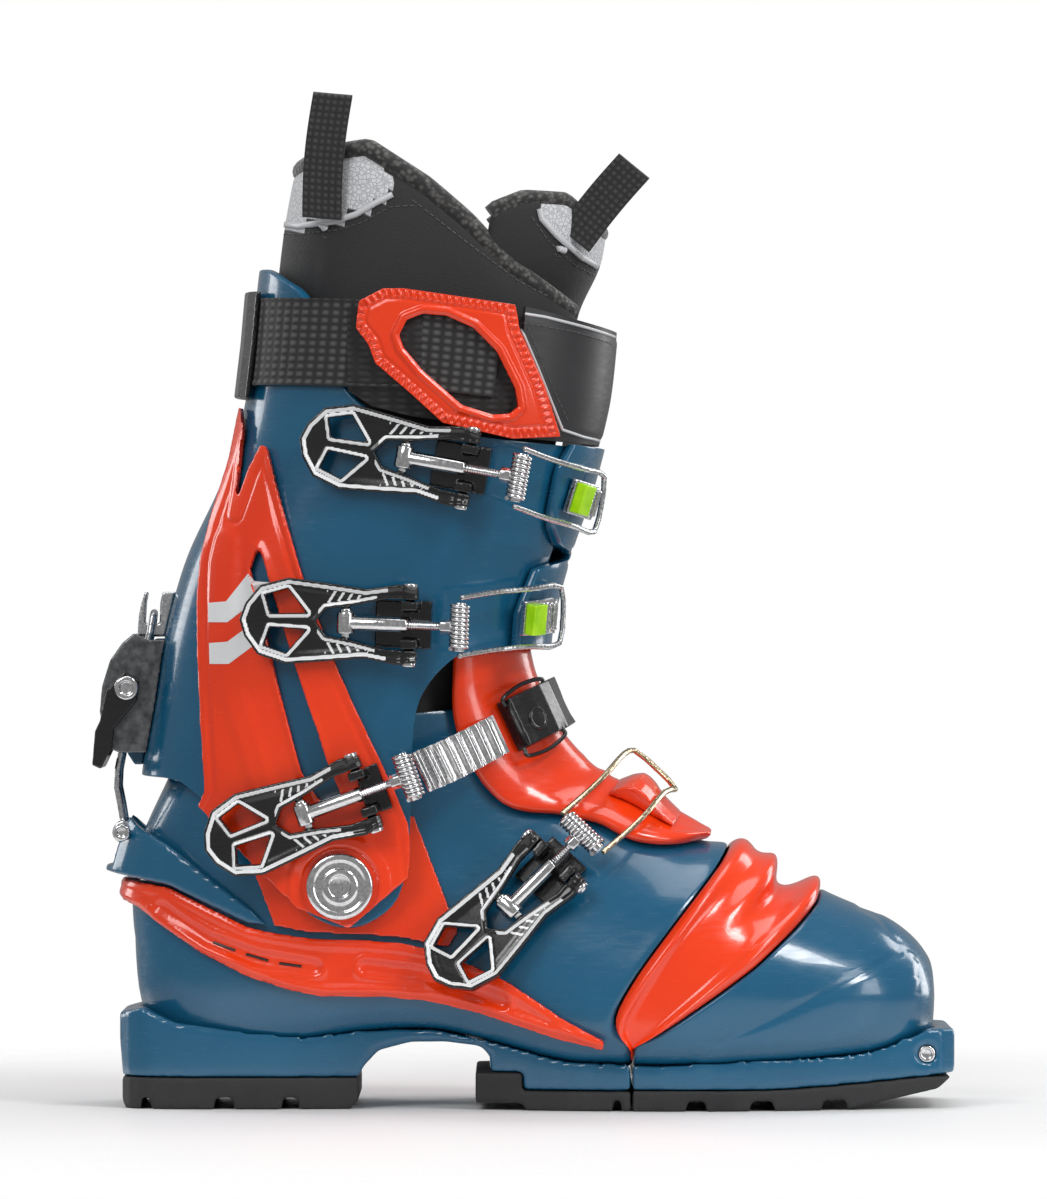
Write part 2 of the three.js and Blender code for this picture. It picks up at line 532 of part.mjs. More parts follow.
const flapLift = (t) => (cuffWall + 0.6) * smooth(2 * Math.PI - 0.5, 2 * Math.PI + 0.02, t);
const crosses = (edge, t, low, high) => whereTrue(Z(low), Z(high), (z) => z > edge(cuffPoint(t, z).x));
const cuffColumn = (t) => [crosses(cuffBottom, t, 58, 175), crosses(cuffTop, t, 200, 310)];

function cuffSheet(ts, rowShares, offset, flap = true) {
  const ends = ts.map(cuffColumn);
  return rowShares.map((v) => ts.map((t, i) => {
    const z = mix(...ends[i], v);
    const stop = 2 * Math.PI + cuffAngle(flapEnd(z), z);
    const share = smooth(1.5 * Math.PI, cuffEnd, t);
    const turned = flap && t > 1.5 * Math.PI ? t + (stop - cuffEnd) * share : t;
    return cuffPoint(turned, z, offset + (flap ? flapLift(turned) : 0));
  }));
}
const cuffTs = steps(cuffStart, cuffEnd, 38);
const cuffRows = [0, 0.05, 0.14, 0.25, 0.37, 0.5, 0.62, 0.74, 0.86, 1];
const cuffBody = wall(cuffSheet(cuffTs, cuffRows, 0), cuffSheet(cuffTs, cuffRows, -cuffWall));
meshOf(cut(cuffBody, shellBore), 'cuff_shell', colours.petrol, 'plastic');

const overlayOutline = side([[-4.7, 254.5], [-8.4, 235], [-14.6, 215], [-18.6, 198.7], [-19.7, 184], [-19.4, 166],
  [-18.3, 140], [-16.8, 115], [-24, 100], [0, 60], [60, 60], [56.7, 103], [51, 117], [45.3, 129], [36.5, 147.5],
  [31.5, 159], [19.5, 190], [11, 218.5], [5.5, 239], [3.7, 240.3], [-1.5, 230], [-6.5, 215], [-5, 228], [-3.5, 246]]);
const overlaySlot = side([[2.6, 203], [4.7, 198.7], [15, 163.6], [27.8, 125], [33, 112.5], [24.5, 112], [18.3, 122],
  [10.2, 152], [2.8, 184], [-0.2, 195]]);
const overlayShares = steps(0, 1, 8);
const overlayLift = skinGap + layerWall;
const lateralTs = steps(0.9, Math.PI + 0.15, 13);
const cuffLayer = (ts, from, to) => wall(cuffSheet(ts, overlayShares, to, false), cuffSheet(ts, overlayShares, from, false));
for (const [name, ts, from, to] of [['cuff_overlay_lateral', lateralTs, -90, -4],
  ['cuff_overlay_medial', lateralTs.map((t) => 2 * Math.PI - t), 4, 90]]) {
  meshOf(cut(meet(cuffLayer(ts, skinGap, overlayLift), prism(overlayOutline, from, to)),
    prism(overlaySlot, from, to), shellBore), name, colours.orange, 'plastic');
}

const pivotAt = (y) => new THREE.Vector3(X(ankle.x), y, Z(ankle.z));
const rivetSeat = cuffHalf(Z(ankle.z)) + overlayLift + fitGap;
for (const [name, sign] of [['cuff_rivet_lateral', -1], ['cuff_rivet_medial', 1]]) {
  const inner = (footSections[12][4] * widthScale - shellWall) * sign;
  meshOf(join(drum(rivetHead / 2, pivotAt(sign * rivetSeat), pivotAt(sign * (rivetSeat + 2.6)), 28),
    drum(rivetShank / 2, pivotAt(inner), pivotAt(sign * (rivetSeat + 1)), 14)), name, colours.steel, 'metal');
}

// ---------------------------------------------------------------- buckles
const hinges = {};
const xyz = (v) => v.toArray();
function frameFrom(surface, from, to, standoff, tailStandoff = standoff) {
  const [a, b] = [[X(from[0]), Z(from[1])], [X(to[0]), Z(to[1])]];
  const start = surface(...a, standoff);
  const along = surface(...b, tailStandoff).sub(start).normalize();
  const out = normalAt(surface, (a[0] + b[0]) / 2, (a[1] + b[1]) / 2);
  const across = out.clone().cross(along).normalize();
  const up = along.clone().cross(across);
  return new THREE.Matrix4().makeBasis(along, across, up).setPosition(start);
}
const local = (frame, x, y, z) => new THREE.Vector3(x, y, z).applyMatrix4(frame);
const bar = (frame, radius, from, to, sides = 8) => drum(radius, local(frame, ...from), local(frame, ...to), sides);
const linkReach = 23;                    // fork pins to tube pivot
const coilReach = 18;                    // fork pins to coil, the other way
const pinSize = 3;
const boreSize = 3.7;

function leverSolid(frame) {
  const half = leverWidth / 2;
  const tail = leverLength - 3;
  const outline = [[-3, half - 6.4], [-3, half - 2], [4, half - 1], [16, half - 3], [30, half - 1.4], [44, half],
    [54, half - 3], [tail - 2, 6], [tail, 0]];
  const both = [...outline, ...outline.slice(0, -1).reverse().map(([x, y]) => [x, -y])];
  const slot = [[-6, half - 6.4], [8, half - 6.4], [20, 6.4], [30, 4.8], [34, 0]];
  const slotBoth = [...slot, ...slot.slice(0, -1).reverse().map(([x, y]) => [x, -y])];
  const flat = (points) => {
    const geometry = slab(points, -leverPlate / 2, leverPlate / 2);
    return geometry.applyMatrix4(frame);
  };
  const tall = (points) => slab(points, -9, 9).applyMatrix4(frame);
  const window = (sign) => tall([[37, sign * 3], [44, sign * 11.5], [52, sign * 9], [50, sign * 2.5]]);
  const knuckles = [-1, 1].map((sign) => bar(frame, 3.1, [0, sign * (half - 6.4), 0], [0, sign * (half - 2), 0], 8));
  const bores = [-1, 1].map((sign) => bar(frame, boreSize / 2, [0, sign * (half - 9), 0], [0, sign * (half + 1), 0], 8));
  const cross = bar(frame, pinSize / 2, [linkReach, -half + 6, 0], [linkReach, half - 6, 0], 6);
  return join(cut(join(flat(both), ...knuckles), tall(slotBoth), window(1), window(-1), ...bores), cross);
}

function linkSolid(frame, reach) {
  const tube = bar(frame, tubeSize / 2, [linkReach, 0, 0], [1, 0, 0]);
  const rod = bar(frame, 1.6, [2, 0, 0], [-reach, 0, 0], 8);
  const coil = bar(frame, coilSize / 2, [-reach, -coilLength / 2, 0], [-reach, coilLength / 2, 0], 10);
  const eye = bar(frame, 3.3, [linkReach, -3.8, 0], [linkReach, 3.8, 0], 10);
  return cut(join(tube, rod, coil, eye), bar(frame, boreSize / 2, [linkReach, -9, 0], [linkReach, 9, 0]));
}

function baseSolid(frame, standoff, seat) {
  const plate = block(frame, [-7, -8.6, -standoff - 3], [13, 8.6, -standoff + 4]);
  const ears = [-1, 1].map((sign) => block(frame, sign > 0 ? [-3, 5.2, -standoff] : [-3, -8.6, -standoff],
    sign > 0 ? [3, 8.6, 2.6] : [3, -5.2, 2.6]));
  const pins = [-1, 1].map((sign) => bar(frame, pinSize / 2, [0, sign * 5.4, 0], [0, sign * (leverWidth / 2 - 1.4), 0], 6));
  return cut(join(plate, ...ears, ...pins), seat);
}

// A bail runs from the coil ends over the surface to a crossbar at the catch.
function bailSolid(frame, reach, surface, coil, catchPoint, rise, endRise) {
  const axisHalf = coilLength / 2 + wireSize / 2 + 0.5;
  const start = local(frame, -reach, 0, 0);
  const across = local(frame, 0, 1, 0).sub(local(frame, 0, 0, 0));
  const end = surface(X(catchPoint[0]), Z(catchPoint[1]), endRise);
  const mid = [0.35, 0.7].map((u) => surface(X(mix(coil[0], catchPoint[0], u)), Z(mix(coil[1], catchPoint[1], u)),
    mix(rise, endRise, u)));
  const leg = (sign) => [start, ...mid, end].map((p) => p.clone().addScaledVector(across, sign * axisHalf));
  const turn = end.clone().add(end.clone().sub(mid[1]).setLength(1.6));
  const points = [...leg(1), turn.clone().addScaledVector(across, axisHalf * 0.8),
    turn.clone().addScaledVector(across, -axisHalf * 0.8), ...leg(-1).reverse()];
  return wire(points, wireSize, 24);
}

const cuffBlock = (from, to) => wall(cuffSheet(cuffTs, cuffRows, to), cuffSheet(cuffTs, cuffRows, from));
const cuffSeat = cuffBlock(-14, fitGap);
const overlaySeat = wall(cuffSheet(lateralTs, overlayShares, overlayLift + fitGap, false),
  cuffSheet(lateralTs, overlayShares, -14, false));
const shellSeat = footLayer(steps(7, 12, 14), steps(0.3, 2.4, 14), -10, fitGap);
const buckles = [
  { name: 'upper', surface: surfaces.cuff, pin: [75.2, 231.2], tail: [17.9, 243], standoff: 8.5, seat: cuffSeat,
    coil: [93.5, 226.4], catchPoint: [115.5, 219], reach: 19 },
  { name: 'lower', surface: surfaces.cuff, pin: [54.6, 175], tail: [-2.4, 177.5], standoff: 9.6, seat: cuffSeat,
    coil: [72.6, 175.5], catchPoint: [101.5, 178.5], reach: 18 },
  { name: 'instep', surface: surfaces.cuff, pin: [40.4, 114.8], tail: [-11.7, 93.5], standoff: 10, seat: overlaySeat,
    coil: [56.6, 120.9], reach: 17.5 },
  { name: 'toe', surface: surfaces.foot, pin: [106.4, 86.9], tail: [70.1, 50.5], standoff: 10, seat: shellSeat,
    coil: [117.5, 95.7], catchPoint: [140, 117.5], reach: 14.5 },
];
for (const b of buckles) {
  const frame = frameFrom(b.surface, b.pin, b.tail, b.standoff);
  meshOf(leverSolid(frame), `${b.name}_lever`, colours.black, 'plastic');
  meshOf(linkSolid(frame, b.reach), `${b.name}_link`, colours.steel, 'metal');
  meshOf(baseSolid(frame, b.standoff, b.seat), `${b.name}_buckle_base`, colours.steel, 'metal');
  const axis = local(frame, 0, -1, 0).sub(local(frame, 0, 0, 0));
  hinges[`${b.name}_lever`] = { at: local(frame, 0, 0, 0), axis };
  hinges[`${b.name}_link`] = { at: local(frame, linkReach, 0, 0), axis };
  hinges[`${b.name}_bail`] = { at: local(frame, -b.reach, 0, 0), axis };
  b.frame = frame;
}
for (const b of [buckles[0], buckles[1]]) {
  const flapTop = cuffWall + 0.6;
  meshOf(bailSolid(b.frame, b.reach, b.surface, b.coil, b.catchPoint, 8.5, flapTop + 5.6), `${b.name}_bail`,
    colours.steel, 'metal');
  const rear = [mix(b.catchPoint[0], b.coil[0], 0.62), mix(b.catchPoint[1], b.coil[1], 0.62)];
  const seat = frameFrom(b.surface, b.catchPoint, rear, flapTop + 4.6);
  const teeth = [2.6, 7.2].map((x) => block(seat, [x, -5, 0], [x + 2.2, 5, 2.8]));
  meshOf(join(block(seat, [1.6, -6.4, -1.4], [19, 6.4, 1.2]), ...teeth), `${b.name}_catch`,
    colours.steel, 'metal');
  meshOf(block(seat, [12, -5.6, 1.2 + fitGap], [19, 5.6, 5.8]), `${b.name}_catch_block`, colours.lime, 'clear');
}

// The instep strap: a toothed metal ladder from the lever to a black catch on the tongue.
const ladderFrom = [58.5, 122];
const ladderTo = [86, 134.5];
const ladderHalf = 7.6;
function ladderPoint(u, v, lift) {
  const [x, z] = [mix(ladderFrom[0], ladderTo[0], u), mix(ladderFrom[1], ladderTo[1], u)];
  const heading = new THREE.Vector2(ladderTo[0] - ladderFrom[0], ladderTo[1] - ladderFrom[1]).normalize();
  const cuffSide = surfaces.cuff(X(x - heading.y * v), Z(z + heading.x * v), 7 + lift);
  const instepSide = surfaces.foot(X(x - heading.y * v), Z(z + heading.x * v), tongueWall + tongueGap + 1.6 + lift);
  return cuffSide.lerp(instepSide, smooth(0.1, 1, u));
}
const ladderShares = steps(0, 1, 14);
const ladderWave = (u) => 0.8 * (((u * 7) % 1) > 0.5 ? 1 : 0);
meshOf(wall(grid(ladderShares, [-ladderHalf, 0, ladderHalf], (u, v) => ladderPoint(u, v, 1.6 + ladderWave(u))),
  grid(ladderShares, [-ladderHalf, 0, ladderHalf], (u, v) => ladderPoint(u, v, 0))), 'instep_ladder', colours.steel, 'metal');
const catchShares = steps(1.06, 1.62, 5);
meshOf(wall(grid(catchShares, steps(-10, 10, 4), (u, v) => ladderPoint(u, v, 6 - 5 * (u - 1.3) ** 2)),
  grid(catchShares, steps(-10, 10, 4), (u, v) => ladderPoint(u, v, -0.8))), 'instep_catch', colours.black, 'plastic');

const toe = buckles[3];
meshOf(bailSolid(toe.frame, toe.reach, toe.surface, toe.coil, toe.catchPoint, 12, 15.2), 'toe_bail', colours.steel, 'metal');

// ---------------------------------------------------------------- walk mechanism
const walkPivot = { x: -46.4, z: 152 };
const housingOutline = side([[-38.6, 169.5], [-43.8, 172], [-48.2, 168.3], [-52.6, 162], [-55.5, 152.6], [-56.3, 143.7],
  [-55.7, 138.8], [-52, 129.6], [-49.2, 128.4]]);
const housingRear = cuffBlock(-36, fitGap);
const housingBlock = prism([...housingOutline, ...side([[-20, 128.4], [-20, 169.5]])], -13.2, 13.2);
const channel = prism(side([[-53, 120], [-53, 146], [-50, 160], [-45, 175], [-10, 175], [-10, 120]]), -10.8, 10.8);
meshOf(cut(housingBlock, channel, housingRear, prism(steps(0, 1, 12).slice(1).map((u) => [
  X(walkPivot.x) + 2 * Math.cos(2 * Math.PI * u), Z(walkPivot.z) + 2 * Math.sin(2 * Math.PI * u)]), -40, 40)),
  'walk_housing', colours.grey, 'metal');
const walkOutline = [[-47.3, 158.1], [-41.6, 155], [-42.5, 147.5], [-50.8, 137.4], [-51.6, 131.1], [-55.7, 122.5],
  [-58.9, 124], [-57.9, 136.2], [-56.1, 140], [-53.7, 151.2]];
const cheeks = [[-16.6, -13.6], [13.6, 16.6]].map(([a, b]) => prism(side(walkOutline), a, b));
const bridge = prism(side([[-58.9, 124], [-57.8, 127.6], [-53.8, 127.2], [-55.7, 122.5]]), -15, 15);
const walkPinY = (y) => new THREE.Vector3(X(walkPivot.x), y, Z(walkPivot.z));
meshOf(join(...cheeks, bridge, drum(1.7, walkPinY(-15), walkPinY(-11), 10), drum(1.7, walkPinY(11), walkPinY(15), 10)),
  'walk_lever', colours.black, 'plastic');
hinges.walk_lever = { at: walkPinY(0), axis: new THREE.Vector3(0, 1, 0) };

const barTop = { x: -37.2, z: 178 };
const barHalf = 8.6;
const barPoint = (x, y, z) => new THREE.Vector3(X(x), y, Z(z));
const barLeg = (sign) => [barPoint(spoilerAxle.x, sign * barHalf, spoilerAxle.z + 3.8), barPoint(-48.9, sign * barHalf, 110),
  barPoint(-50.2, sign * barHalf, 118), barPoint(-47.9, sign * barHalf, 132), barPoint(-44.6, sign * barHalf, 150),
  barPoint(barTop.x - 1.6, sign * barHalf, barTop.z - 9)];
const walkWire = wire([...barLeg(-1), barPoint(barTop.x, -barHalf + 2, barTop.z), barPoint(barTop.x, barHalf - 2, barTop.z),
  ...barLeg(1).reverse()], 3, 26);
const eyeAt = (sign, y0, y1) => drum(4.2, barPoint(spoilerAxle.x, sign * y0, spoilerAxle.z),
  barPoint(spoilerAxle.x, sign * y1, spoilerAxle.z), 12);
meshOf(cut(join(walkWire, eyeAt(-1, 6.6, 10.6), eyeAt(1, 6.6, 10.6)), axleBore), 'walk_bar', colours.steel, 'metal');
hinges.walk_bar = { at: barPoint(spoilerAxle.x, 0, spoilerAxle.z), axis: new THREE.Vector3(0, 1, 0) };

// The hook is open at the top, so the bar can rise out of it.
const hookSlot = [[-40.2, 175.4], [-39.8, 183], [-38.5, 190], [-37.2, 200], [-31.6, 200], [-33.2, 190], [-34.6, 183],
  [-34.9, 175.4]];
meshOf(cut(prism(side([[-43, 170.6], [-42.6, 178], [-41.6, 183], [-40.3, 187], [-20, 187], [-20, 170.6]]), -5.2, 5.2),
  prism(side(hookSlot), -20, 20), housingRear), 'walk_hook', colours.steel, 'metal');
meshOf(cut(prism(side([[-36, 170], [-39, 168], [-46.6, 128], [-44, 124], [-20, 124], [-20, 170]]), -4.6, 4.6), housingRear),
  'walk_rack', colours.petrol, 'plastic');

// ---------------------------------------------------------------- power strap
const strapGap = 0.5;
const strapWall = 1.6;
const strapBand = (ts, shares, low, high, offset) => grid(shares, ts, (v, t) => {
  const x = cuffPoint(t, Z(270)).x;
  return cuffPoint(t, mix(low(x), high(x), v), offset);
});
const strapLow = straight([[-10, 262.4], [60, 260], [135, 252]].map(([x, z]) => [X(x), Z(z)]));
const strapHigh = straight([[-10, 294], [60, 291], [135, 284]].map(([x, z]) => [X(x), Z(z)]));
const bandTs = steps(1.25, 2 * Math.PI - 0.7, 22);
const strapPiece = (ts, shares, low, high, from, to) => wall(strapBand(ts, shares, low, high, to),
  strapBand(ts, shares, low, high, from));
meshOf(strapPiece(bandTs, [0, 0.5, 1], strapLow, strapHigh, strapGap, strapGap + strapWall), 'power_strap',
  colours.fabric, 'fabric');
const panelLow = straight([[90, 240], [127, 236]].map(([x, z]) => [X(x), Z(z)]));
const panelHigh = straight([[90, 291], [135, 280]].map(([x, z]) => [X(x), Z(z)]));
meshOf(strapPiece(steps(-0.66, 1.12, 12), [0, 0.33, 0.67, 1], (x) => cuffTop(x) + 1.5, panelHigh, strapGap,
  strapGap + strapWall), 'strap_panel', colours.black, 'fabric');
const frameOutline = side([[37.4, 285.6], [39.4, 291.5], [47.8, 295.8], [55, 295.8], [95, 290], [96.5, 281], [105, 262],
  [111, 243], [94, 242], [69, 247.6], [57.7, 258], [45, 269], [42.4, 276], [38, 281.7]]);
const frameHole = side([[53.5, 279], [56.2, 284.5], [62, 286.7], [70.3, 286], [80, 281.7], [88.4, 273.3], [95, 260],
  [96, 253.5], [93, 251], [87, 250.6], [76, 254], [62, 266.3], [55, 274.7]]);
const frameLayer = wall(
  grid(steps(Z(232), Z(304), 6), steps(0.55, 1.9, 12), (z, t) => cuffPoint(t, z, strapGap + strapWall + fitGap + 2.4)),
  grid(steps(Z(232), Z(304), 6), steps(0.55, 1.9, 12), (z, t) => cuffPoint(t, z, strapGap + strapWall + fitGap)));
meshOf(cut(meet(frameLayer, prism(frameOutline, -90, -4)), prism(frameHole, -90, -4)), 'strap_frame', colours.orange, 'plastic');
const keeperTs = steps(Math.PI - 0.42, Math.PI + 0.42, 5);
meshOf(strapPiece(keeperTs, [0, 0.5, 1], (x) => strapLow(x) - 4.5, (x) => strapHigh(x) + 2.5, strapGap + strapWall + fitGap,
  strapGap + strapWall + fitGap + 2), 'strap_keeper', colours.black, 'plastic');

// ---------------------------------------------------------------- liner
const linerGap = 2.2;
const foldRelief = 3.6;                    // liner drawn in under the bellows
const collar = straight([[0, 340], [12, 345], [30, 347], [56, 333.4], [76, 320.3], [97, 304], [112, 296], [128, 287]]
  .map(([x, z]) => [X(x), Z(z)]));
const linerColumns = 22;
const footRowsOfLiner = [0.9, 1.6, 2.6, 3.8, 4.8, 5.8, 6.8, 7.6, 8.6, 9.8, 11, 12, 12.8, 13.8, 15, 16.4, 17.8];
const cuffRowsOfLiner = [[180, 200], [210, 216], [245, 236], [285, 262], [318, 276]];
function linerGrid(depth) {
  const open = (level) => 0.5 * smooth(7.4, 12, level);
  const rows = [];
  const soleDrop = (a) => 3.6 * Math.max(0, -Math.cos(a)) ** 0.7;
  for (const s of footRowsOfLiner) {
    rows.push(steps(0, 1, linerColumns).map((u) => {
      const a = open(s) + (2 * Math.PI - 2 * open(s)) * u;
      const fold = foldRelief * smooth(2.6, 4.2, s) * (1 - smooth(7.2, 8.8, s)) * Math.max(0, Math.cos(Math.min(a, 2 * Math.PI - a) / 1.5));
      return footPoint(s, a, -shellWall - linerGap - fold - soleDrop(a) * (1 - smooth(11, 14, s)) - depth);
    }));
  }
  const cuffRow = (heightAtAngle) => steps(0, 1, linerColumns).map((u) => {
    const a = 0.5 + (2 * Math.PI - 1) * u;
    return cuffPoint(a, heightAtAngle(a), -cuffWall - linerGap - 1 - depth);
  });
  for (const [rear, front] of cuffRowsOfLiner) rows.push(cuffRow((a) => Z(mix(front, rear, (1 - Math.cos(a)) / 2))));
  rows.push(cuffRow((a) => collar(cuffPoint(a, Z(300)).x)));
  return rows;
}
const linerTip = (depth) => new THREE.Vector3(X(243.2) - shellWall - depth, 4.5, Z(40));
meshOf(wall(linerGrid(0), linerGrid(linerWall), { wraps: true, openFrom: 6, cap: [linerTip(0), linerTip(linerWall)] }),
  'liner', colours.fabric, 'fabric');

const linerTongueDepth = through([[190, 9.4], [280, 9.4], [318, 5], [335, 4]]);
const tongueHigh = straight([[70, 316], [82, 318], [90, 325], [101, 329], [118, 328.5], [134, 318]].map(([x, z]) => [X(x), Z(z)]));
const linerTongue = (extra) => grid([0, 0.2, 0.4, 0.6, 0.75, 0.88, 1], steps(-0.95, 0.95, 10), (v, t) => {
  const z = mix(Z(190), tongueHigh(cuffPoint(t, Z(320)).x), v);
  return cuffPoint(t, z, -cuffWall - linerWall - linerTongueDepth(z) + 3.2 - extra);
});
meshOf(wall(linerTongue(0), linerTongue(4.5)), 'liner_tongue', colours.fabric, 'fabric');

const insoleAngles = steps(Math.PI - 0.78, Math.PI + 0.78, 6);
const insole = (depth, thick, rows) => wall(grid(rows, insoleAngles, (s, a) => footPoint(s, a, -depth)),
  grid(rows, insoleAngles, (s, a) => footPoint(s, a, -depth - thick)));
meshOf(insole(shellWall + skinGap + 0.5, 1.4, steps(6.2, 12.2, 10)), 'boot_board', colours.black, 'plastic');

// ---------------------------------------------------------------- pull loops
function pullLoop(base, tip, y, width, name) {
  const heading = new THREE.Vector2(tip[0] - base[0], tip[1] - base[1]).normalize();
  const edge = new THREE.Vector2(-heading.y, heading.x).multiplyScalar(width / 2);
  const outline = side([[base[0] + edge.x, base[1] + edge.y], [tip[0] + edge.x, tip[1] + edge.y],
    [tip[0] - edge.x, tip[1] - edge.y], [base[0] - edge.x, base[1] - edge.y]]);
  meshOf(prism(outline, y - 1.6, y + 1.6), name, colours.fabric, 'fabric');
}
pullLoop([25.4, 321.5], [29.4, 366.5], cuffPoint(cuffAngle(X(27.5), Z(326)), Z(326), -cuffWall - linerGap - 1).y - 3.6, 14.5,
  'rear_pull_loop');
pullLoop([116.3, 314.2], [138.1, 340.9], cuffPoint(0.6, Z(318), -10.8).y - 6.7, 14.2, 'front_pull_loop');

hinges.cuff = { at: pivotAt(0), axis: new THREE.Vector3(0, 1, 0) };
hinges.toe = { at: new THREE.Vector3(X(toeHinge.x), 0, Z(toeHinge.z)), axis: new THREE.Vector3(0, -1, 0) };

// ---------------------------------------------------------------- set on its base, centred
const box = new THREE.Box3().setFromObject(boot);
const centre = box.getCenter(new THREE.Vector3());
boot.position.set(-centre.x, -centre.y, -box.min.z);
boot.userData.hinges = Object.fromEntries(Object.entries(hinges).map(([name, h]) => [name,
  { at: xyz(h.at.clone().add(boot.position)), axis: xyz(h.axis) }]));
export default boot;
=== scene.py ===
# Ski touring boot: shells, soft liner, buckles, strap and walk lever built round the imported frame.
import json
import math

import bmesh
import bpy
from mathutils import Matrix, Vector
from mathutils.bvhtree import BVHTree
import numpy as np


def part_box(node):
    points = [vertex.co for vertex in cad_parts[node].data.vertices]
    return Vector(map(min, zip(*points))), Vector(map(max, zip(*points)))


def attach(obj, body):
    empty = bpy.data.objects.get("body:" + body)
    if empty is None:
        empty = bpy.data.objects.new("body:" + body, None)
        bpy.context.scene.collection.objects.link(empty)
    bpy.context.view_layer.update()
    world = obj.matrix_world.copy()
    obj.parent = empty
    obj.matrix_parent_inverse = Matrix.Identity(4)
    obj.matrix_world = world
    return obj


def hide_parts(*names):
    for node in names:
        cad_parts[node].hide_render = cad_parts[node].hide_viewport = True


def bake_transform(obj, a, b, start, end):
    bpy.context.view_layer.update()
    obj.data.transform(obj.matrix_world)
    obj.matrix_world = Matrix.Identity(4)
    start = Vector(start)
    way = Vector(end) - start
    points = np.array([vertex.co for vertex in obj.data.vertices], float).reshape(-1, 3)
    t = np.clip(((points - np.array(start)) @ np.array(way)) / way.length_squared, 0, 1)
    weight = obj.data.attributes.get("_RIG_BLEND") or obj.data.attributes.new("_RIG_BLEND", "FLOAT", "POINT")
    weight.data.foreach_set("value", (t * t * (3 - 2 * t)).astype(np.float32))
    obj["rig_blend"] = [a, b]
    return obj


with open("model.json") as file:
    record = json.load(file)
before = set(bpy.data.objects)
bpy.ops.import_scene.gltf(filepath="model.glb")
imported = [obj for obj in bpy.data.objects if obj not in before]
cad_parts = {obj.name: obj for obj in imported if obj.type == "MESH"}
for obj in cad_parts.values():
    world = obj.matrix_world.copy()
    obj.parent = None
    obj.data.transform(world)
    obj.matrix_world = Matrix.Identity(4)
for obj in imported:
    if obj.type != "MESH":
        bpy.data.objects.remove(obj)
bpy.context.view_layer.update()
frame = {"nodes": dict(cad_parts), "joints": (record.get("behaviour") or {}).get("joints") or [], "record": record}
bpy.ops.object.select_all(action="DESELECT")

mm = 0.001
record = frame["record"]
nodeBody = {n: b for b, names in record["behaviour"]["bodies"].items() for n in names}
nodeSlot = {row["node"]: row["material_slot"] for row in record["subparts"]}
joints = {j["name"]: j for j in frame["joints"]}
pivot = Vector(joints["cuff_pivot"]["pos_m"])
designPivot = Vector((32, 0, 81))            # ankle pivot in the design sizes below, mm
origin = pivot - designPivot * mm


def place(x, y, z):                          # design millimetres to the shared frame
    return origin + Vector((x, y, z)) * mm


def design(point):                           # and back
    return (point - origin) / mm


print("frame loaded")

# Camera, light and floor
studio = dict(distance=3.0, frameHeight=0.4379, centreX=0.0003, centreZ=0.1842, white=1.0, ambient=0.30)


def areaLight(name, at, size, power, colour=(1, 1, 1), target=(0, 0, 0.16)):
    bpy.ops.object.light_add(type="AREA", location=at)
    lamp = bpy.context.object
    lamp.name = name
    lamp.data.shape = "RECTANGLE"
    lamp.data.size, lamp.data.size_y = size
    lamp.data.energy = power
    lamp.data.color = colour
    lamp.rotation_euler = (Vector(target) - Vector(at)).to_track_quat("-Z", "Y").to_euler()
    return lamp


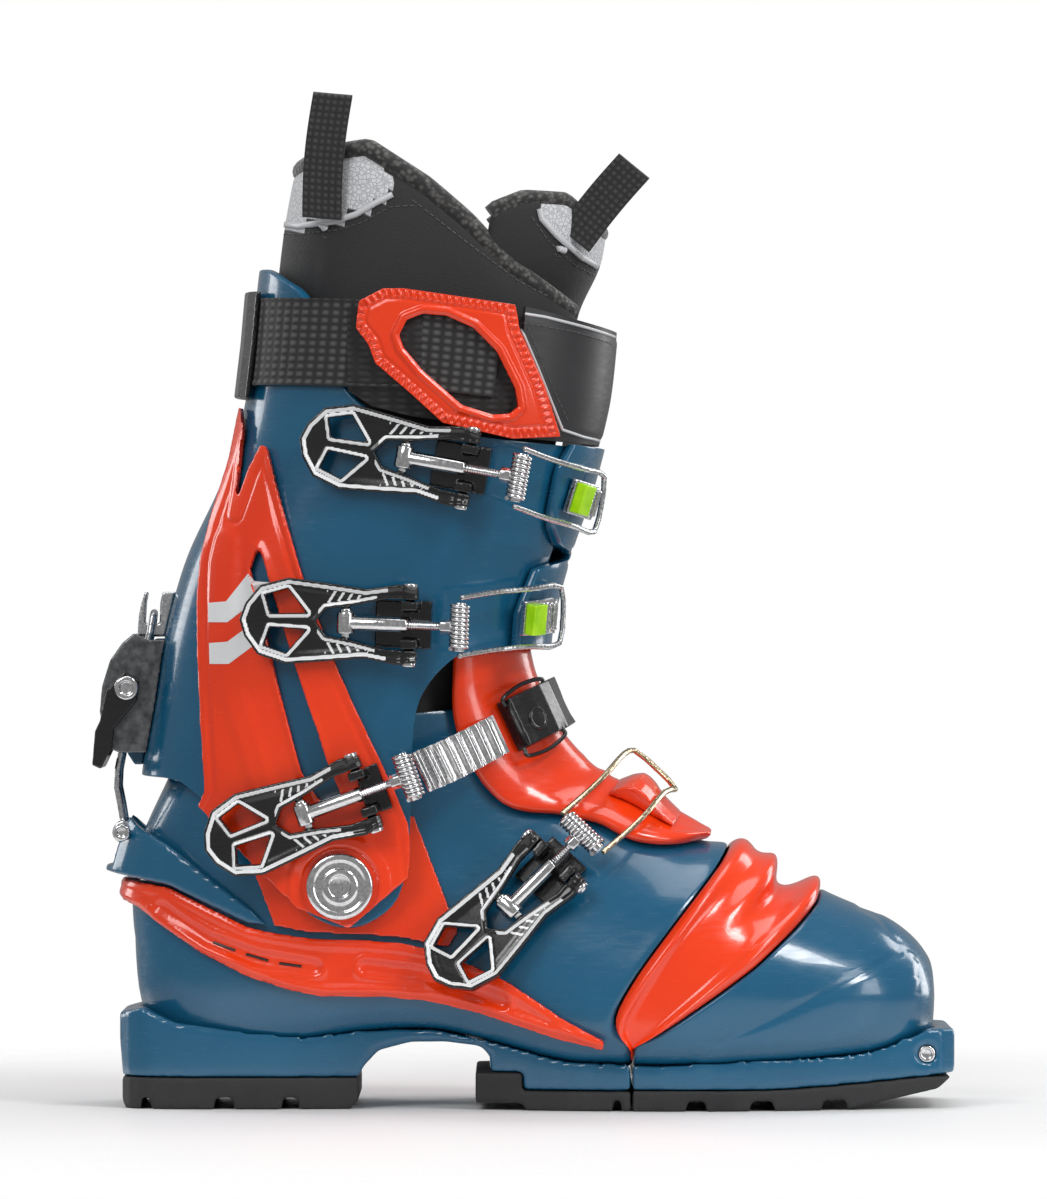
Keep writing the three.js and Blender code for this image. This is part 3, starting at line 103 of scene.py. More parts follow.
def buildStudio():
    bpy.ops.object.camera_add(location=(studio["centreX"], -studio["distance"], studio["centreZ"]),
                              rotation=(math.pi / 2, 0, 0))
    camera = bpy.context.object
    camera.name = "camera"
    camera.data.sensor_fit = "VERTICAL"
    camera.data.angle = 2 * math.atan(studio["frameHeight"] / 2 / studio["distance"])
    camera.data.clip_end = 50
    bpy.context.scene.camera = camera
    areaLight("keyLight", (-0.75, -1.25, 1.05), (0.7, 0.7), 10)
    areaLight("glowLight", (0.75, -0.75, 1.15), (0.35, 0.35), 7, target=(0.03, 0, 0.11))
    areaLight("fillLight", (1.35, -1.0, 0.55), (0.4, 1.0), 6)
    areaLight("topLight", (0.1, 0.1, 1.5), (1.2, 0.8), 8)
    areaLight("rimLeft", (-1.2, 0.7, 0.6), (0.4, 1.2), 6)
    areaLight("rimRight", (1.1, 0.9, 0.6), (0.4, 1.2), 6)
    world = bpy.data.worlds.new("paleRoom")
    bpy.context.scene.world = world
    world.use_nodes = True
    tree = world.node_tree
    back = tree.nodes["Background"]
    back.inputs["Color"].default_value = (1, 1, 1, 1)
    seen = tree.nodes.new("ShaderNodeLightPath")
    choose = tree.nodes.new("ShaderNodeMapRange")
    choose.inputs["To Min"].default_value = studio["ambient"]
    choose.inputs["To Max"].default_value = studio["white"]
    tree.links.new(seen.outputs["Is Camera Ray"], choose.inputs["Value"])
    tree.links.new(choose.outputs["Result"], back.inputs["Strength"])
    bpy.context.scene.view_settings.view_transform = "Standard"
    bpy.ops.mesh.primitive_circle_add(vertices=64, radius=1.2, fill_type="NGON", location=(0, 0, -0.0002))
    floor = bpy.context.object
    floor.name = "floor"
    paint = bpy.data.materials.new("paleFloor")
    paint.use_nodes = True
    tree = paint.node_tree
    shader = tree.nodes["Principled BSDF"]
    shader.inputs["Base Color"].default_value = (0.93, 0.93, 0.93, 1)
    shader.inputs["Roughness"].default_value = 0.45
    where = tree.nodes.new("ShaderNodeTexCoord")
    ring = tree.nodes.new("ShaderNodeVectorMath")
    ring.operation = "LENGTH"
    fade = tree.nodes.new("ShaderNodeMapRange")
    fade.interpolation_type = "SMOOTHSTEP"
    fade.inputs["From Min"].default_value = 0.19
    fade.inputs["From Max"].default_value = 0.46
    fade.inputs["To Min"].default_value = 1
    fade.inputs["To Max"].default_value = 0
    tree.links.new(where.outputs["Object"], ring.inputs[0])
    tree.links.new(ring.outputs["Value"], fade.inputs["Value"])
    tree.links.new(fade.outputs["Result"], shader.inputs["Alpha"])
    floor.data.materials.append(paint)


buildStudio()
print("studio built")

# Finishes
def startMaterial(name, **constants):
    paint = bpy.data.materials.new(name)
    paint.use_nodes = True
    tree = paint.node_tree
    shader = tree.nodes["Principled BSDF"]
    for socket, value in constants.items():
        key = socket.replace("_", " ")
        shader.inputs[key].default_value = value
    return paint, tree, shader


def add(tree, kind, **settings):
    node = tree.nodes.new("ShaderNode" + kind)
    for key, value in settings.items():
        if key in node.inputs:
            node.inputs[key].default_value = value
        else:
            setattr(node, key, value)
    return node


def noise(tree, vector, scale, detail=3, distortion=0.0):
    node = add(tree, "TexNoise")
    node.inputs["Scale"].default_value = scale
    node.inputs["Detail"].default_value = detail
    node.inputs["Distortion"].default_value = distortion
    tree.links.new(vector, node.inputs["Vector"])
    return node.outputs["Fac"]


def spread(tree, value, low, high, fromLow=0.3, fromHigh=0.7):
    node = add(tree, "MapRange")
    node.inputs["From Min"].default_value = fromLow
    node.inputs["From Max"].default_value = fromHigh
    node.inputs["To Min"].default_value = low
    node.inputs["To Max"].default_value = high
    tree.links.new(value, node.inputs["Value"])
    return node.outputs["Result"]


def blendColours(tree, share, first, second):
    node = add(tree, "Mix", data_type="RGBA")
    for socket, value in ((node.inputs[6], first), (node.inputs[7], second)):
        if isinstance(value, tuple):
            socket.default_value = (*value, 1)
        else:
            tree.links.new(value, socket)
    tree.links.new(share, node.inputs[0])
    return node.outputs[2]


def bump(tree, shader, height, strength, depth):
    node = add(tree, "Bump")
    node.inputs["Strength"].default_value = strength
    node.inputs["Distance"].default_value = depth
    tree.links.new(height, node.inputs["Height"])
    tree.links.new(node.outputs["Normal"], shader.inputs["Normal"])
    return node


def objectSpace(tree, scale=(1, 1, 1)):
    where = add(tree, "TexCoord")
    turn = add(tree, "Mapping")
    turn.inputs["Scale"].default_value = scale
    tree.links.new(where.outputs["Object"], turn.inputs["Vector"])
    return turn.outputs["Vector"]


def ownUv(tree, scale=(1, 1, 1)):
    where = add(tree, "UVMap")
    turn = add(tree, "Mapping")
    turn.inputs["Scale"].default_value = scale
    tree.links.new(where.outputs["UV"], turn.inputs["Vector"])
    return turn.outputs["Vector"]


def mouldedPlastic(name, colour, deep, rough=0.2, coat=0.35, paintName=None, line=(0.8, 0.8, 0.8)):
    paint, tree, shader = startMaterial(name, Coat_Weight=coat, Coat_Roughness=0.06)
    space = objectSpace(tree)
    cloud = noise(tree, space, 22, 4)
    tone = blendColours(tree, spread(tree, cloud, 0, 1), deep, colour)
    if paintName:
        mark = add(tree, "Attribute", attribute_name=paintName)
        edge = spread(tree, mark.outputs["Fac"], 0, 1, 0.42, 0.58)
        tone = blendColours(tree, edge, tone, line)
    tree.links.new(tone, shader.inputs["Base Color"])
    scuff = noise(tree, objectSpace(tree, (1, 1, 6)), 160, 5, 0.4)
    tree.links.new(spread(tree, scuff, rough - 0.05, rough + 0.09), shader.inputs["Roughness"])
    peel = noise(tree, space, 900, 2)
    bump(tree, shader, peel, 0.05, 0.0004)
    return paint


def metal(name, colour, dark, rough=0.24, grain=(1, 1, 1), grainScale=900):
    paint, tree, shader = startMaterial(name, Metallic=1.0)
    streak = noise(tree, objectSpace(tree, grain), grainScale, 4)
    tree.links.new(blendColours(tree, spread(tree, streak, 0, 1), dark, colour), shader.inputs["Base Color"])
    tree.links.new(spread(tree, streak, rough - 0.07, rough + 0.12), shader.inputs["Roughness"])
    bump(tree, shader, streak, 0.12, 0.0002)
    return paint


def rubberMaterial():
    paint, tree, shader = startMaterial("soleRubberLook")
    space = objectSpace(tree)
    dust = noise(tree, space, 60, 5)
    tree.links.new(blendColours(tree, spread(tree, dust, 0, 1), (0.010, 0.010, 0.011), (0.026, 0.026, 0.027)),
                   shader.inputs["Base Color"])
    tree.links.new(spread(tree, dust, 0.55, 0.75), shader.inputs["Roughness"])
    bump(tree, shader, noise(tree, space, 1400, 3), 0.35, 0.0004)
    return paint


def clearLimePaintedGlow():
    # the emission colour and strength paint a glow onto the clear lime blocks: light of their own that no lamp
    # gives them
    paint, tree, shader = startMaterial("limeClear", Transmission_Weight=0.35, IOR=1.47, Coat_Weight=0.6,
                                        Emission_Color=(0.45, 0.85, 0.0, 1), Emission_Strength=0.12)
    swirl = noise(tree, objectSpace(tree), 140, 3)
    tree.links.new(blendColours(tree, spread(tree, swirl, 0, 1), (0.33, 0.66, 0.0), (0.58, 0.9, 0.02)),
                   shader.inputs["Base Color"])
    tree.links.new(spread(tree, swirl, 0.12, 0.22), shader.inputs["Roughness"])
    return paint


def webbingMaterial(name, light, dark, pitchU=0.0016, pitchV=0.0016, onUv=True):
    paint, tree, shader = startMaterial(name, Sheen_Weight=0.25, Sheen_Roughness=0.5)
    space = ownUv(tree) if onUv else objectSpace(tree)
    warp = add(tree, "TexWave", wave_type="BANDS", bands_direction="X")
    weft = add(tree, "TexWave", wave_type="BANDS", bands_direction="Y")
    for wave, pitch in ((warp, pitchU), (weft, pitchV)):
        wave.inputs["Scale"].default_value = 1 / pitch / 3.1831 * 0.5
        wave.inputs["Distortion"].default_value = 0.25
        wave.inputs["Detail Scale"].default_value = 2
        tree.links.new(space, wave.inputs["Vector"])
    both = add(tree, "Math", operation="MULTIPLY")
    tree.links.new(warp.outputs["Fac"], both.inputs[0])
    tree.links.new(weft.outputs["Fac"], both.inputs[1])
    fuzz = noise(tree, objectSpace(tree), 500, 4)
    mixed = add(tree, "Math", operation="MULTIPLY_ADD")
    tree.links.new(fuzz, mixed.inputs[0])
    mixed.inputs[1].default_value = 0.35
    tree.links.new(both.outputs[0], mixed.inputs[2])
    tree.links.new(blendColours(tree, spread(tree, mixed.outputs[0], 0, 1, 0.15, 1.0), dark, light),
                   shader.inputs["Base Color"])
    tree.links.new(spread(tree, fuzz, 0.72, 0.92), shader.inputs["Roughness"])
    bump(tree, shader, mixed.outputs[0], 0.6, 0.0005)
    return paint


# black knit, with pale honeycomb panels by attribute


def linerCloth():
    paint, tree, shader = startMaterial("linerCloth", Sheen_Weight=0.12, Sheen_Roughness=0.4)
    space = objectSpace(tree)
    cells = add(tree, "TexVoronoi", feature="DISTANCE_TO_EDGE")
    cells.inputs["Scale"].default_value = 620
    tree.links.new(space, cells.inputs["Vector"])
    knit = noise(tree, space, 1500, 3)
    comb = spread(tree, cells.outputs["Distance"], 0, 1, 0.02, 0.16)
    pale = blendColours(tree, comb, (0.42, 0.43, 0.45), (0.64, 0.65, 0.67))
    soft = blendColours(tree, spread(tree, knit, 0, 1), (0.010, 0.010, 0.011), (0.022, 0.022, 0.024))
    mask = add(tree, "Attribute", attribute_name="panel")
    edge = spread(tree, mask.outputs["Fac"], 0, 1, 0.45, 0.55)
    tree.links.new(blendColours(tree, edge, soft, pale), shader.inputs["Base Color"])
    tree.links.new(spread(tree, knit, 0.6, 0.85), shader.inputs["Roughness"])
    lift = add(tree, "Math", operation="MULTIPLY_ADD")
    tree.links.new(comb, lift.inputs[0])
    tree.links.new(edge, lift.inputs[1])
    tree.links.new(knit, lift.inputs[2])
    bump(tree, shader, lift.outputs[0], 0.35, 0.0005)
    return paint


def bindingCloth():                          # patterned edge tape
    paint, tree, shader = startMaterial("bindingCloth", Sheen_Weight=0.3)
    space = ownUv(tree)
    checks = add(tree, "TexVoronoi", feature="F1")
    checks.inputs["Scale"].default_value = 520
    tree.links.new(space, checks.inputs["Vector"])
    tree.links.new(blendColours(tree, spread(tree, checks.outputs["Distance"], 0, 1, 0.15, 0.6),
                                (0.085, 0.082, 0.075),
                                (0.012, 0.012, 0.012)), shader.inputs["Base Color"])
    tree.links.new(spread(tree, checks.outputs["Distance"], 0.5, 0.8), shader.inputs["Roughness"])
    bump(tree, shader, checks.outputs["Distance"], 0.5, 0.0006)
    return paint


petrol = mouldedPlastic("petrolShell", (0.008, 0.105, 0.205), (0.005, 0.088, 0.178), 0.2, 0.45)
orange = mouldedPlastic("orangeShell", (0.88, 0.050, 0.004), (0.79, 0.036, 0.003), 0.19, 0.4)
blackGloss = mouldedPlastic("blackGloss", (0.010, 0.010, 0.011), (0.006, 0.006, 0.007), 0.2, 0.3)
leverBlack = mouldedPlastic("leverBlack", (0.010, 0.010, 0.011), (0.006, 0.006, 0.007), 0.22, 0.25, "line",
                            (0.75, 0.76, 0.77))
rubberBlack = rubberMaterial()
steel = metal("zincSteel", (0.72, 0.73, 0.74), (0.48, 0.49, 0.5), 0.22)
brightSteel = metal("polishedSteel", (0.82, 0.82, 0.83), (0.62, 0.62, 0.63), 0.12)
goldZinc = metal("yellowZinc", (0.72, 0.60, 0.42), (0.50, 0.40, 0.26), 0.2)
castGrey = metal("castGrey", (0.20, 0.205, 0.21), (0.11, 0.115, 0.12), 0.34, grainScale=400)
lime = clearLimePaintedGlow()
strapWeave = webbingMaterial("strapWebbing", (0.075, 0.075, 0.078), (0.006, 0.006, 0.006), 0.0021, 0.0014)
loopWeave = webbingMaterial("loopWebbing", (0.035, 0.035, 0.037), (0.005, 0.005, 0.005), 0.0012, 0.0012)
linerMaterial = linerCloth()
bindingMaterial = bindingCloth()
paleTrim = mouldedPlastic("paleTrim", (0.60, 0.61, 0.63), (0.52, 0.53, 0.55), 0.35, 0.1)
whitePrint = mouldedPlastic("whitePrint", (0.80, 0.81, 0.82), (0.74, 0.75, 0.76), 0.3, 0.2)
print("finishes made")

# Maths of the two moulded surfaces
def steps(low, high, count):
    return [low + (high - low) * i / count for i in range(count + 1)]


def mix(a, b, u):
    return a + (b - a) * u


def smooth(low, high, x):
    u = min(1, max(0, (x - low) / (high - low)))
    return u * u * (3 - 2 * u)


def signedPower(v, p):
    return math.copysign(abs(v) ** p, v)


def through(points):                         # smooth function through pairs
    at = [p[0] for p in points]
    value = [p[1] for p in points]
    slope = []
    for i in range(len(at)):
        a, b = max(i - 1, 0), min(i + 1, len(at) - 1)
        slope.append((value[b] - value[a]) / (at[b] - at[a]))

    def read(x):
        i = next((k for k, t in enumerate(at) if t > x), len(at) - 1) - 1
        i = min(max(i, 0), len(at) - 2)
        h = at[i + 1] - at[i]
        u = (x - at[i]) / h
        if u < 0:
            return value[i] + slope[i] * (x - at[i])
        if u > 1:
            return value[i + 1] + slope[i + 1] * (x - at[i + 1])
        u2, u3 = u * u, u * u * u
        return ((2 * u3 - 3 * u2 + 1) * value[i] + (u3 - 2 * u2 + u) * h * slope[i]
                + (3 * u2 - 2 * u3) * value[i + 1] + (u3 - u2) * h * slope[i + 1])
    return read


def straight(points):                        # straight lines through pairs
    def read(x):
        i = next((k for k, p in enumerate(points) if p[0] > x), len(points) - 1) - 1
        i = min(max(i, 0), len(points) - 2)
        a, b = points[i], points[i + 1]
        return a[1] + (b[1] - a[1]) * min(1, max(0, (x - a[0]) / (b[0] - a[0])))
    return read


def whereTrue(low, high, test):
    for _ in range(26):
        middle = (low + high) / 2
        if test(middle):
            high = middle
        else:
            low = middle
    return (low + high) / 2


footSections = [                             # sole x, z, top x, z, half width, sideways shift
    (246.5, 22, 247.2, 52, 22, 5), (237.5, 19, 241.7, 60, 36, 4), (217, 17, 232, 67.6, 46, 3),
    (188, 15.3, 220, 72.7, 52, 2), (162.5, 14, 208, 78, 55, 1), (144, 14, 191.7, 87, 56, 0),
    (130.5, 14.5, 175, 95, 55.5, 0), (111.5, 15.3, 162, 96.5, 53, 0), (89.5, 21, 148, 103.7, 49, 0),
    (64, 27.5, 136, 110.6, 45, 0), (35, 25, 126, 115, 42, 0), (2, 17, 119, 119.5, 40.5, 0),
    (-27.5, 18, 113.5, 125, 39.5, 0), (-41, 34.5, 108, 131.5, 39, 0), (-44, 60, 103.5, 138.5, 39, 0),
    (-45, 78, 100, 147, 39.5, 0), (-42, 96.5, 96.5, 156, 40, 0), (-33, 116.5, 94.5, 165, 40.5, 0),
    (-25.5, 133, 93, 174, 41, 0)]
lastSection = len(footSections) - 1
footColumn = [through([(i, s[k]) for i, s in enumerate(footSections)]) for k in range(6)]
footBottom = through([(0, 2.6), (3, 3.4), (9, 3.2), (12, 2.6), (14, 2.3), (lastSection, 2.2)])
footLow = through([(0, 1.05), (3, 1.35), (9, 1.3), (13, 1.05), (lastSection, 1)])


def footPoint(s, a, offset=0.0):
    bx, bz, tx, tz, half, shift = [f(s) for f in footColumn]
    along = Vector((tx - bx, 0, tz - bz))
    height = along.length
    along.normalize()
    power = 2 / (2.15 if math.cos(a) > 0 else footBottom(s))
    up = ((1 + signedPower(math.cos(a), power)) / 2) ** footLow(s)
    point = Vector((bx, 0, bz)) + along * (-offset + (height + 2 * offset) * up)
    out = (half + offset) * signedPower(math.sin(a), power)
    return place(point.x, shift - out, point.z)


cuffRear = through([(60, -40), (90, -42), (120, -41.5), (150, -36.5), (171, -33), (199, -25.2), (228, -12),
                    (256, -3.7), (304, 1.5), (325, 5.5), (350, 8)])
cuffFront = through([(60, 128), (90, 126), (110, 120), (130, 112), (150, 106), (170, 104), (200, 111),
                     (222, 118.5),
                     (240, 123.5), (258, 127.5), (285, 130.5), (318, 135), (350, 139)])
cuffHalf = through([(60, 47.5), (81, 47.5), (110, 47.9), (140, 49.4), (170, 51.1), (240, 54.4), (304, 55.9),
                    (350, 56.4)])


def cuffPoint(t, z, offset=0.0):
    rear, front = cuffRear(z), cuffFront(z)
    power = 2 / 2.35
    deep = (front - rear) / 2 + offset
    out = (cuffHalf(z) + offset) * signedPower(math.sin(t), power)
    return place((rear + front) / 2 + deep * signedPower(math.cos(t), power), -out, z)


def cuffAngle(x, z):
    rear, front = cuffRear(z), cuffFront(z)
    c = min(1, max(-1, (x - (rear + front) / 2) / ((front - rear) / 2)))
    return math.acos(signedPower(c, 2.35 / 2))


# Mesh helpers
def newPiece(name, verts, faces, uv=None):
    mesh = bpy.data.meshes.new(name)
    mesh.from_pydata([tuple(v) for v in verts], [], faces)
    if uv:
        layer = mesh.uv_layers.new(name="UVMap")
        for loop in mesh.loops:
            layer.data[loop.index].uv = uv[loop.vertex_index]
    piece = bpy.data.objects.new(name, mesh)
    bpy.context.scene.collection.objects.link(piece)
    return piece


def tidyShell(piece, distance=1e-6, turnOut=True):
    mesh = bmesh.new()
    mesh.from_mesh(piece.data)
    bmesh.ops.remove_doubles(mesh, verts=mesh.verts, dist=distance)
    bmesh.ops.dissolve_degenerate(mesh, edges=mesh.edges, dist=1e-7)
    if turnOut:
        bmesh.ops.recalc_face_normals(mesh, faces=mesh.faces)
        if mesh.calc_volume(signed=True) < 0:
            bmesh.ops.reverse_faces(mesh, faces=mesh.faces)
    mesh.to_mesh(piece.data)
    mesh.free()


def applyAll(piece):
    bpy.ops.object.select_all(action="DESELECT")
    bpy.context.view_layer.objects.active = piece
    piece.select_set(True)
    for modifier in list(piece.modifiers):
        bpy.ops.object.modifier_apply(modifier=modifier.name)
    piece.select_set(False)


def subdivide(piece, levels):
    modifier = piece.modifiers.new("Subdivision", "SUBSURF")
    modifier.levels = modifier.render_levels = levels
    applyAll(piece)


def smoothShade(piece, angle=None):
    bpy.ops.object.select_all(action="DESELECT")
    bpy.context.view_layer.objects.active = piece
    piece.select_set(True)
    if angle is None:
        bpy.ops.object.shade_smooth()
    else:
        bpy.ops.object.shade_smooth_by_angle(angle=math.radians(angle))
    piece.select_set(False)


def arcs(points):
    total, out = 0.0, [0.0]
    for a, b in zip(points, points[1:]):
        total += (b - a).length
        out.append(total)
    return out


# two point grids as a closed wall


def wall(name, outer, inner, wraps=False, openFrom=10 ** 6, cap=None):
    rows, columns = len(outer), len(outer[0])
    across, down = arcs(outer[rows // 2]), arcs([row[columns // 2] for row in outer])
    verts, uv, faces = [], [], []
    for grid in (outer, inner):
        for r in range(rows):
            for c in range(columns):
                verts.append(grid[r][c])
                uv.append((across[c], down[r]))
    size = rows * columns

    def at(layer, r, c):
        return layer * size + r * columns + c

    for r in range(rows - 1):
        for c in range(columns - 1):
            faces.append((at(0, r, c), at(0, r, c + 1), at(0, r + 1, c + 1), at(0, r + 1, c)))
            faces.append((at(1, r, c), at(1, r + 1, c), at(1, r + 1, c + 1), at(1, r, c + 1)))
        if not wraps or r >= openFrom:
            end = columns - 1
            faces.append((at(0, r, 0), at(0, r + 1, 0), at(1, r + 1, 0), at(1, r, 0)))
            faces.append((at(0, r, end), at(1, r, end), at(1, r + 1, end), at(0, r + 1, end)))
    for c in range(columns - 1):
        e = rows - 1
        faces.append((at(0, e, c), at(0, e, c + 1), at(1, e, c + 1), at(1, e, c)))
        if not cap:
            faces.append((at(0, 0, c), at(1, 0, c), at(1, 0, c + 1), at(0, 0, c + 1)))
    if cap:
        for layer in (0, 1):
            verts.append(cap[layer])
            uv.append((0, 0))
            tip = len(verts) - 1
            for c in range(columns - 1):
                a, b = at(layer, 0, c), at(layer, 0, c + 1)
                faces.append((tip, b, a) if layer == 0 else (tip, a, b))
    piece = newPiece(name, verts, faces, uv)
    tidyShell(piece)
    return piece


def copyOf(node, name):
    piece = bpy.data.objects.new(name, frame["nodes"][node].data.copy())
    bpy.context.scene.collection.objects.link(piece)
    piece.data.materials.clear()
    for key in [a.name for a in piece.data.attributes
                if a.name not in ("position",) and not a.name.startswith(".")]:
        attribute = piece.data.attributes.get(key)
        if attribute and not attribute.is_required:
            piece.data.attributes.remove(attribute)
    tidyShell(piece, 2e-6, False)
    return piece


def remeshed(node, name, voxel, soften, factor=0.5):     # an even skin of small faces, edges eased
    piece = copyOf(node, name)
    modifier = piece.modifiers.new("Remesh", "REMESH")
    modifier.mode = "VOXEL"
    modifier.voxel_size = voxel * mm
    modifier.adaptivity = 0
    if soften:
        ease = piece.modifiers.new("Smooth", "SMOOTH")
        ease.iterations = soften
        ease.factor = factor
    applyAll(piece)
    return piece


class Skin:                                   # nearest place on a dense copy of a surface
    def __init__(self, pointAt, rows, columns):
        self.verts = [pointAt(r, c) for r in rows for c in columns]
        wide = len(columns)
        self.faces = [(r * wide + c, r * wide + c + 1, (r + 1) * wide + c + 1, (r + 1) * wide + c)
                      for r in range(len(rows) - 1) for c in range(wide - 1)]
        mesh = bpy.data.meshes.new("skinGuide")
        mesh.from_pydata([tuple(v) for v in self.verts], [], self.faces)
        self.normals = [n.vector.copy() for n in mesh.vertex_normals]
        self.tree = BVHTree.FromPolygons(self.verts, self.faces)
        centre = sum(self.verts, Vector()) / len(self.verts)
        probe = len(self.verts) // 2 + wide // 4
        self.sign = 1 if self.normals[probe].dot(self.verts[probe] - centre) > 0 else -1
        bpy.data.meshes.remove(mesh)

    def nearest(self, point):
        spot, _, face, _ = self.tree.find_nearest(point)
        normal = Vector()
        for i in self.faces[face]:
            normal += self.normals[i] / ((self.verts[i] - spot).length_squared + 1e-9)
        normal.normalize()
        normal *= self.sign
        return spot, normal, (point - spot).dot(normal)


def settle(piece, skin, levels, hold=0.8, fade=1.3, relief=None):    # onto exact heights over a surface
    for v in piece.data.vertices:
        spot, normal, height = skin.nearest(v.co)
        height /= mm
        level = min(levels, key=lambda h: abs(h - height))
        loose = smooth(hold, fade, abs(height - level))
        height = level + (height - level) * loose
        if relief and height > (levels[0] + levels[-1]) / 2:
            height += relief(design(v.co), height)
        v.co = spot + normal * height * mm


def lineDistance(x, z, line):                # to a polyline, with the length along it
    best, along, run = 1e9, 0.0, 0.0
    for (x0, z0), (x1, z1) in zip(line, line[1:]):
        dx, dz = x1 - x0, z1 - z0
        size = math.hypot(dx, dz) or 1e-9
        u = min(1, max(0, ((x - x0) * dx + (z - z0) * dz) / size ** 2))
        d = math.hypot(x - x0 - u * dx, z - z0 - u * dz)
        if d < best:
            best, along = d, run + u * size
        run += size
    return best, along


def inside(x, z, outline):
    odd = False
    for i, (x1, z1) in enumerate(outline):
        x0, z0 = outline[i - 1]
        if (z0 > z) != (z1 > z) and x < (x1 - x0) * (z - z0) / (z1 - z0) + x0:
            odd = not odd
    return odd


done = set()


def finishPiece(piece, body, slot, material, *nodes):
    if material:
        piece.data.materials.clear()
        piece.data.materials.append(material)
    if body:                                 # a blended piece rides on nothing by itself
        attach(piece, body)
    if nodes:
        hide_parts(*nodes)
        done.update(nodes)
    return piece


def standFor(piece, node, material, blended=False):
    return finishPiece(piece, None if blended else nodeBody[node], nodeSlot[node], material, node)


footSkin = Skin(lambda s, a: footPoint(s, a), steps(0, lastSection, 150), steps(0, 2 * math.pi, 200))
cuffSkin = Skin(lambda z, t: cuffPoint(t, z), steps(60, 350, 120), steps(0, 2 * math.pi, 200))
print("guide surfaces ready")

# Lower shell, toe box and bellows
shellLook = dict(wall=4.0, around=60, rows=34, creaseWidth=1.6, creaseDepth=0.55, detail=1)
hingeX, hingeGap = 137.0, 0.35
bellowsRear = straight([(z, x) for x, z in ((hingeX - hingeGap, 0), (hingeX - hingeGap, 24), (131.5, 27),
                                            (129.5, 32), (131, 37.5), (141, 52.5),
                                            (153.5, 69), (169, 88.5), (174.5, 97), (180, 105))])
bellowsFront = straight([(z, x) for x, z in ((hingeX + hingeGap, 0), (hingeX + hingeGap, 24), (143, 25.5),
                                             (151, 30), (167, 41), (182, 52),
                                             (197, 66), (205, 74.5), (208, 82), (211, 92))])
edgeCache = {}


def sectionAt(edge, a):
    key = (id(edge), round(a, 6))
    if key not in edgeCache:
        edgeCache[key] = whereTrue(1, 9, lambda s: (lambda d: d.x < edge(d.z))(design(footPoint(s, a))))
    return edgeCache[key]


def carve(piece, skin, relief):              # pushes outer faces in or out along the surface
    for v in piece.data.vertices:
        _, normal, height = skin.nearest(v.co)
        if height > -0.9 * mm:
            v.co += normal * relief(design(v.co)) * mm


toeCrease = [(166, 24), (180, 30), (201, 40), (222, 50.5), (233.7, 56), (234.4, 60), (227.5, 68.7), (221, 72)]
heelCrease = [(-44, 60), (-36, 45), (-20, 38), (5, 36), (34, 37), (60, 38.5)]


def shellRelief(d):
    look = shellLook
    depth = 0.0
    for line, size in ((toeCrease, 1.0), (heelCrease, 0.6)):
        gap, _ = lineDistance(d.x, d.z, line)
        depth -= look["creaseDepth"] * size * (1 - smooth(0, look["creaseWidth"], gap))
    above = 0.0
    if 160 < d.x < 240 and d.z < 60:          # the band under the toe crease stands a little proud
        gap, _ = lineDistance(d.x, d.z, toeCrease)
        under = d.z < straight(toeCrease[:5])(d.x)
        above = 0.5 * smooth(0, 5, gap) * (1 - smooth(14, 24, gap)) if under else 0
    return depth + above


def lowerShell():
    look = shellLook
    start, rowCount, openRow = 7.4, look["rows"], 4

    def throat(s):
        return max(0, min(0.4, (s - start) * 0.3))

    def layer(offset):
        out = []
        for r in range(rowCount + 1):
            row = []
            for u in steps(0, 1, look["around"]):
                flat = 2 * math.pi * u
                first = sectionAt(bellowsRear, flat)
                second = mix(first, start, 0.9)
                last = mix(15, lastSection, ((1 - math.cos(flat)) / 2) ** 0.45)
                ease = max(0, r - openRow) / (rowCount - openRow)
                s = mix(first, second, r / openRow) if r <= openRow else mix(second, last, ease)
                gap = 0 if r <= openRow else throat(s)
                row.append(footPoint(s, gap + (2 * math.pi - 2 * gap) * u, offset))
            out.append(row)
        return out
    piece = wall("lowerShell", layer(0), layer(-look["wall"]), wraps=True, openFrom=openRow)
    subdivide(piece, look["detail"])
    carve(piece, footSkin, shellRelief)
    smoothShade(piece, 50)
    return standFor(piece, "lower_shell", petrol)


def toeShell():
    look = shellLook
    shares = [0, 0.06, 0.14, 0.24, 0.34, 0.44, 0.54, 0.64, 0.74, 0.83, 0.91, 0.97, 1]

    def layer(offset):
        return [[footPoint(mix(-0.05, sectionAt(bellowsFront, 2 * math.pi * v), u ** 0.85), 2 * math.pi * v,
                           offset)
                 for v in steps(0, 1, look["around"])] for u in shares]
    limit = 248.7 - look["wall"]
    inner = [[place(min(design(p).x, limit), design(p).y, design(p).z) for p in row]
             for row in layer(-look["wall"])]
    piece = wall("toeShell", layer(0), inner, wraps=True, cap=(place(248.7, 5, 39), place(limit, 5, 39)))
    subdivide(piece, 2)
    carve(piece, footSkin, shellRelief)
    smoothShade(piece, 50)
    return standFor(piece, "toe_shell", petrol)


bellowsFold = through([(0, 0.4), (0.05, 2.2), (0.12, 3.2), (0.2, 2.6), (0.28, 1.2), (0.36, 1.6),
                       (0.45, 3.2), (0.52, 0.6),
                       (0.6, -5.2), (0.7, -5.4), (0.78, -2.5), (0.88, 3.0), (0.95, 3.2), (1, 0.4)])


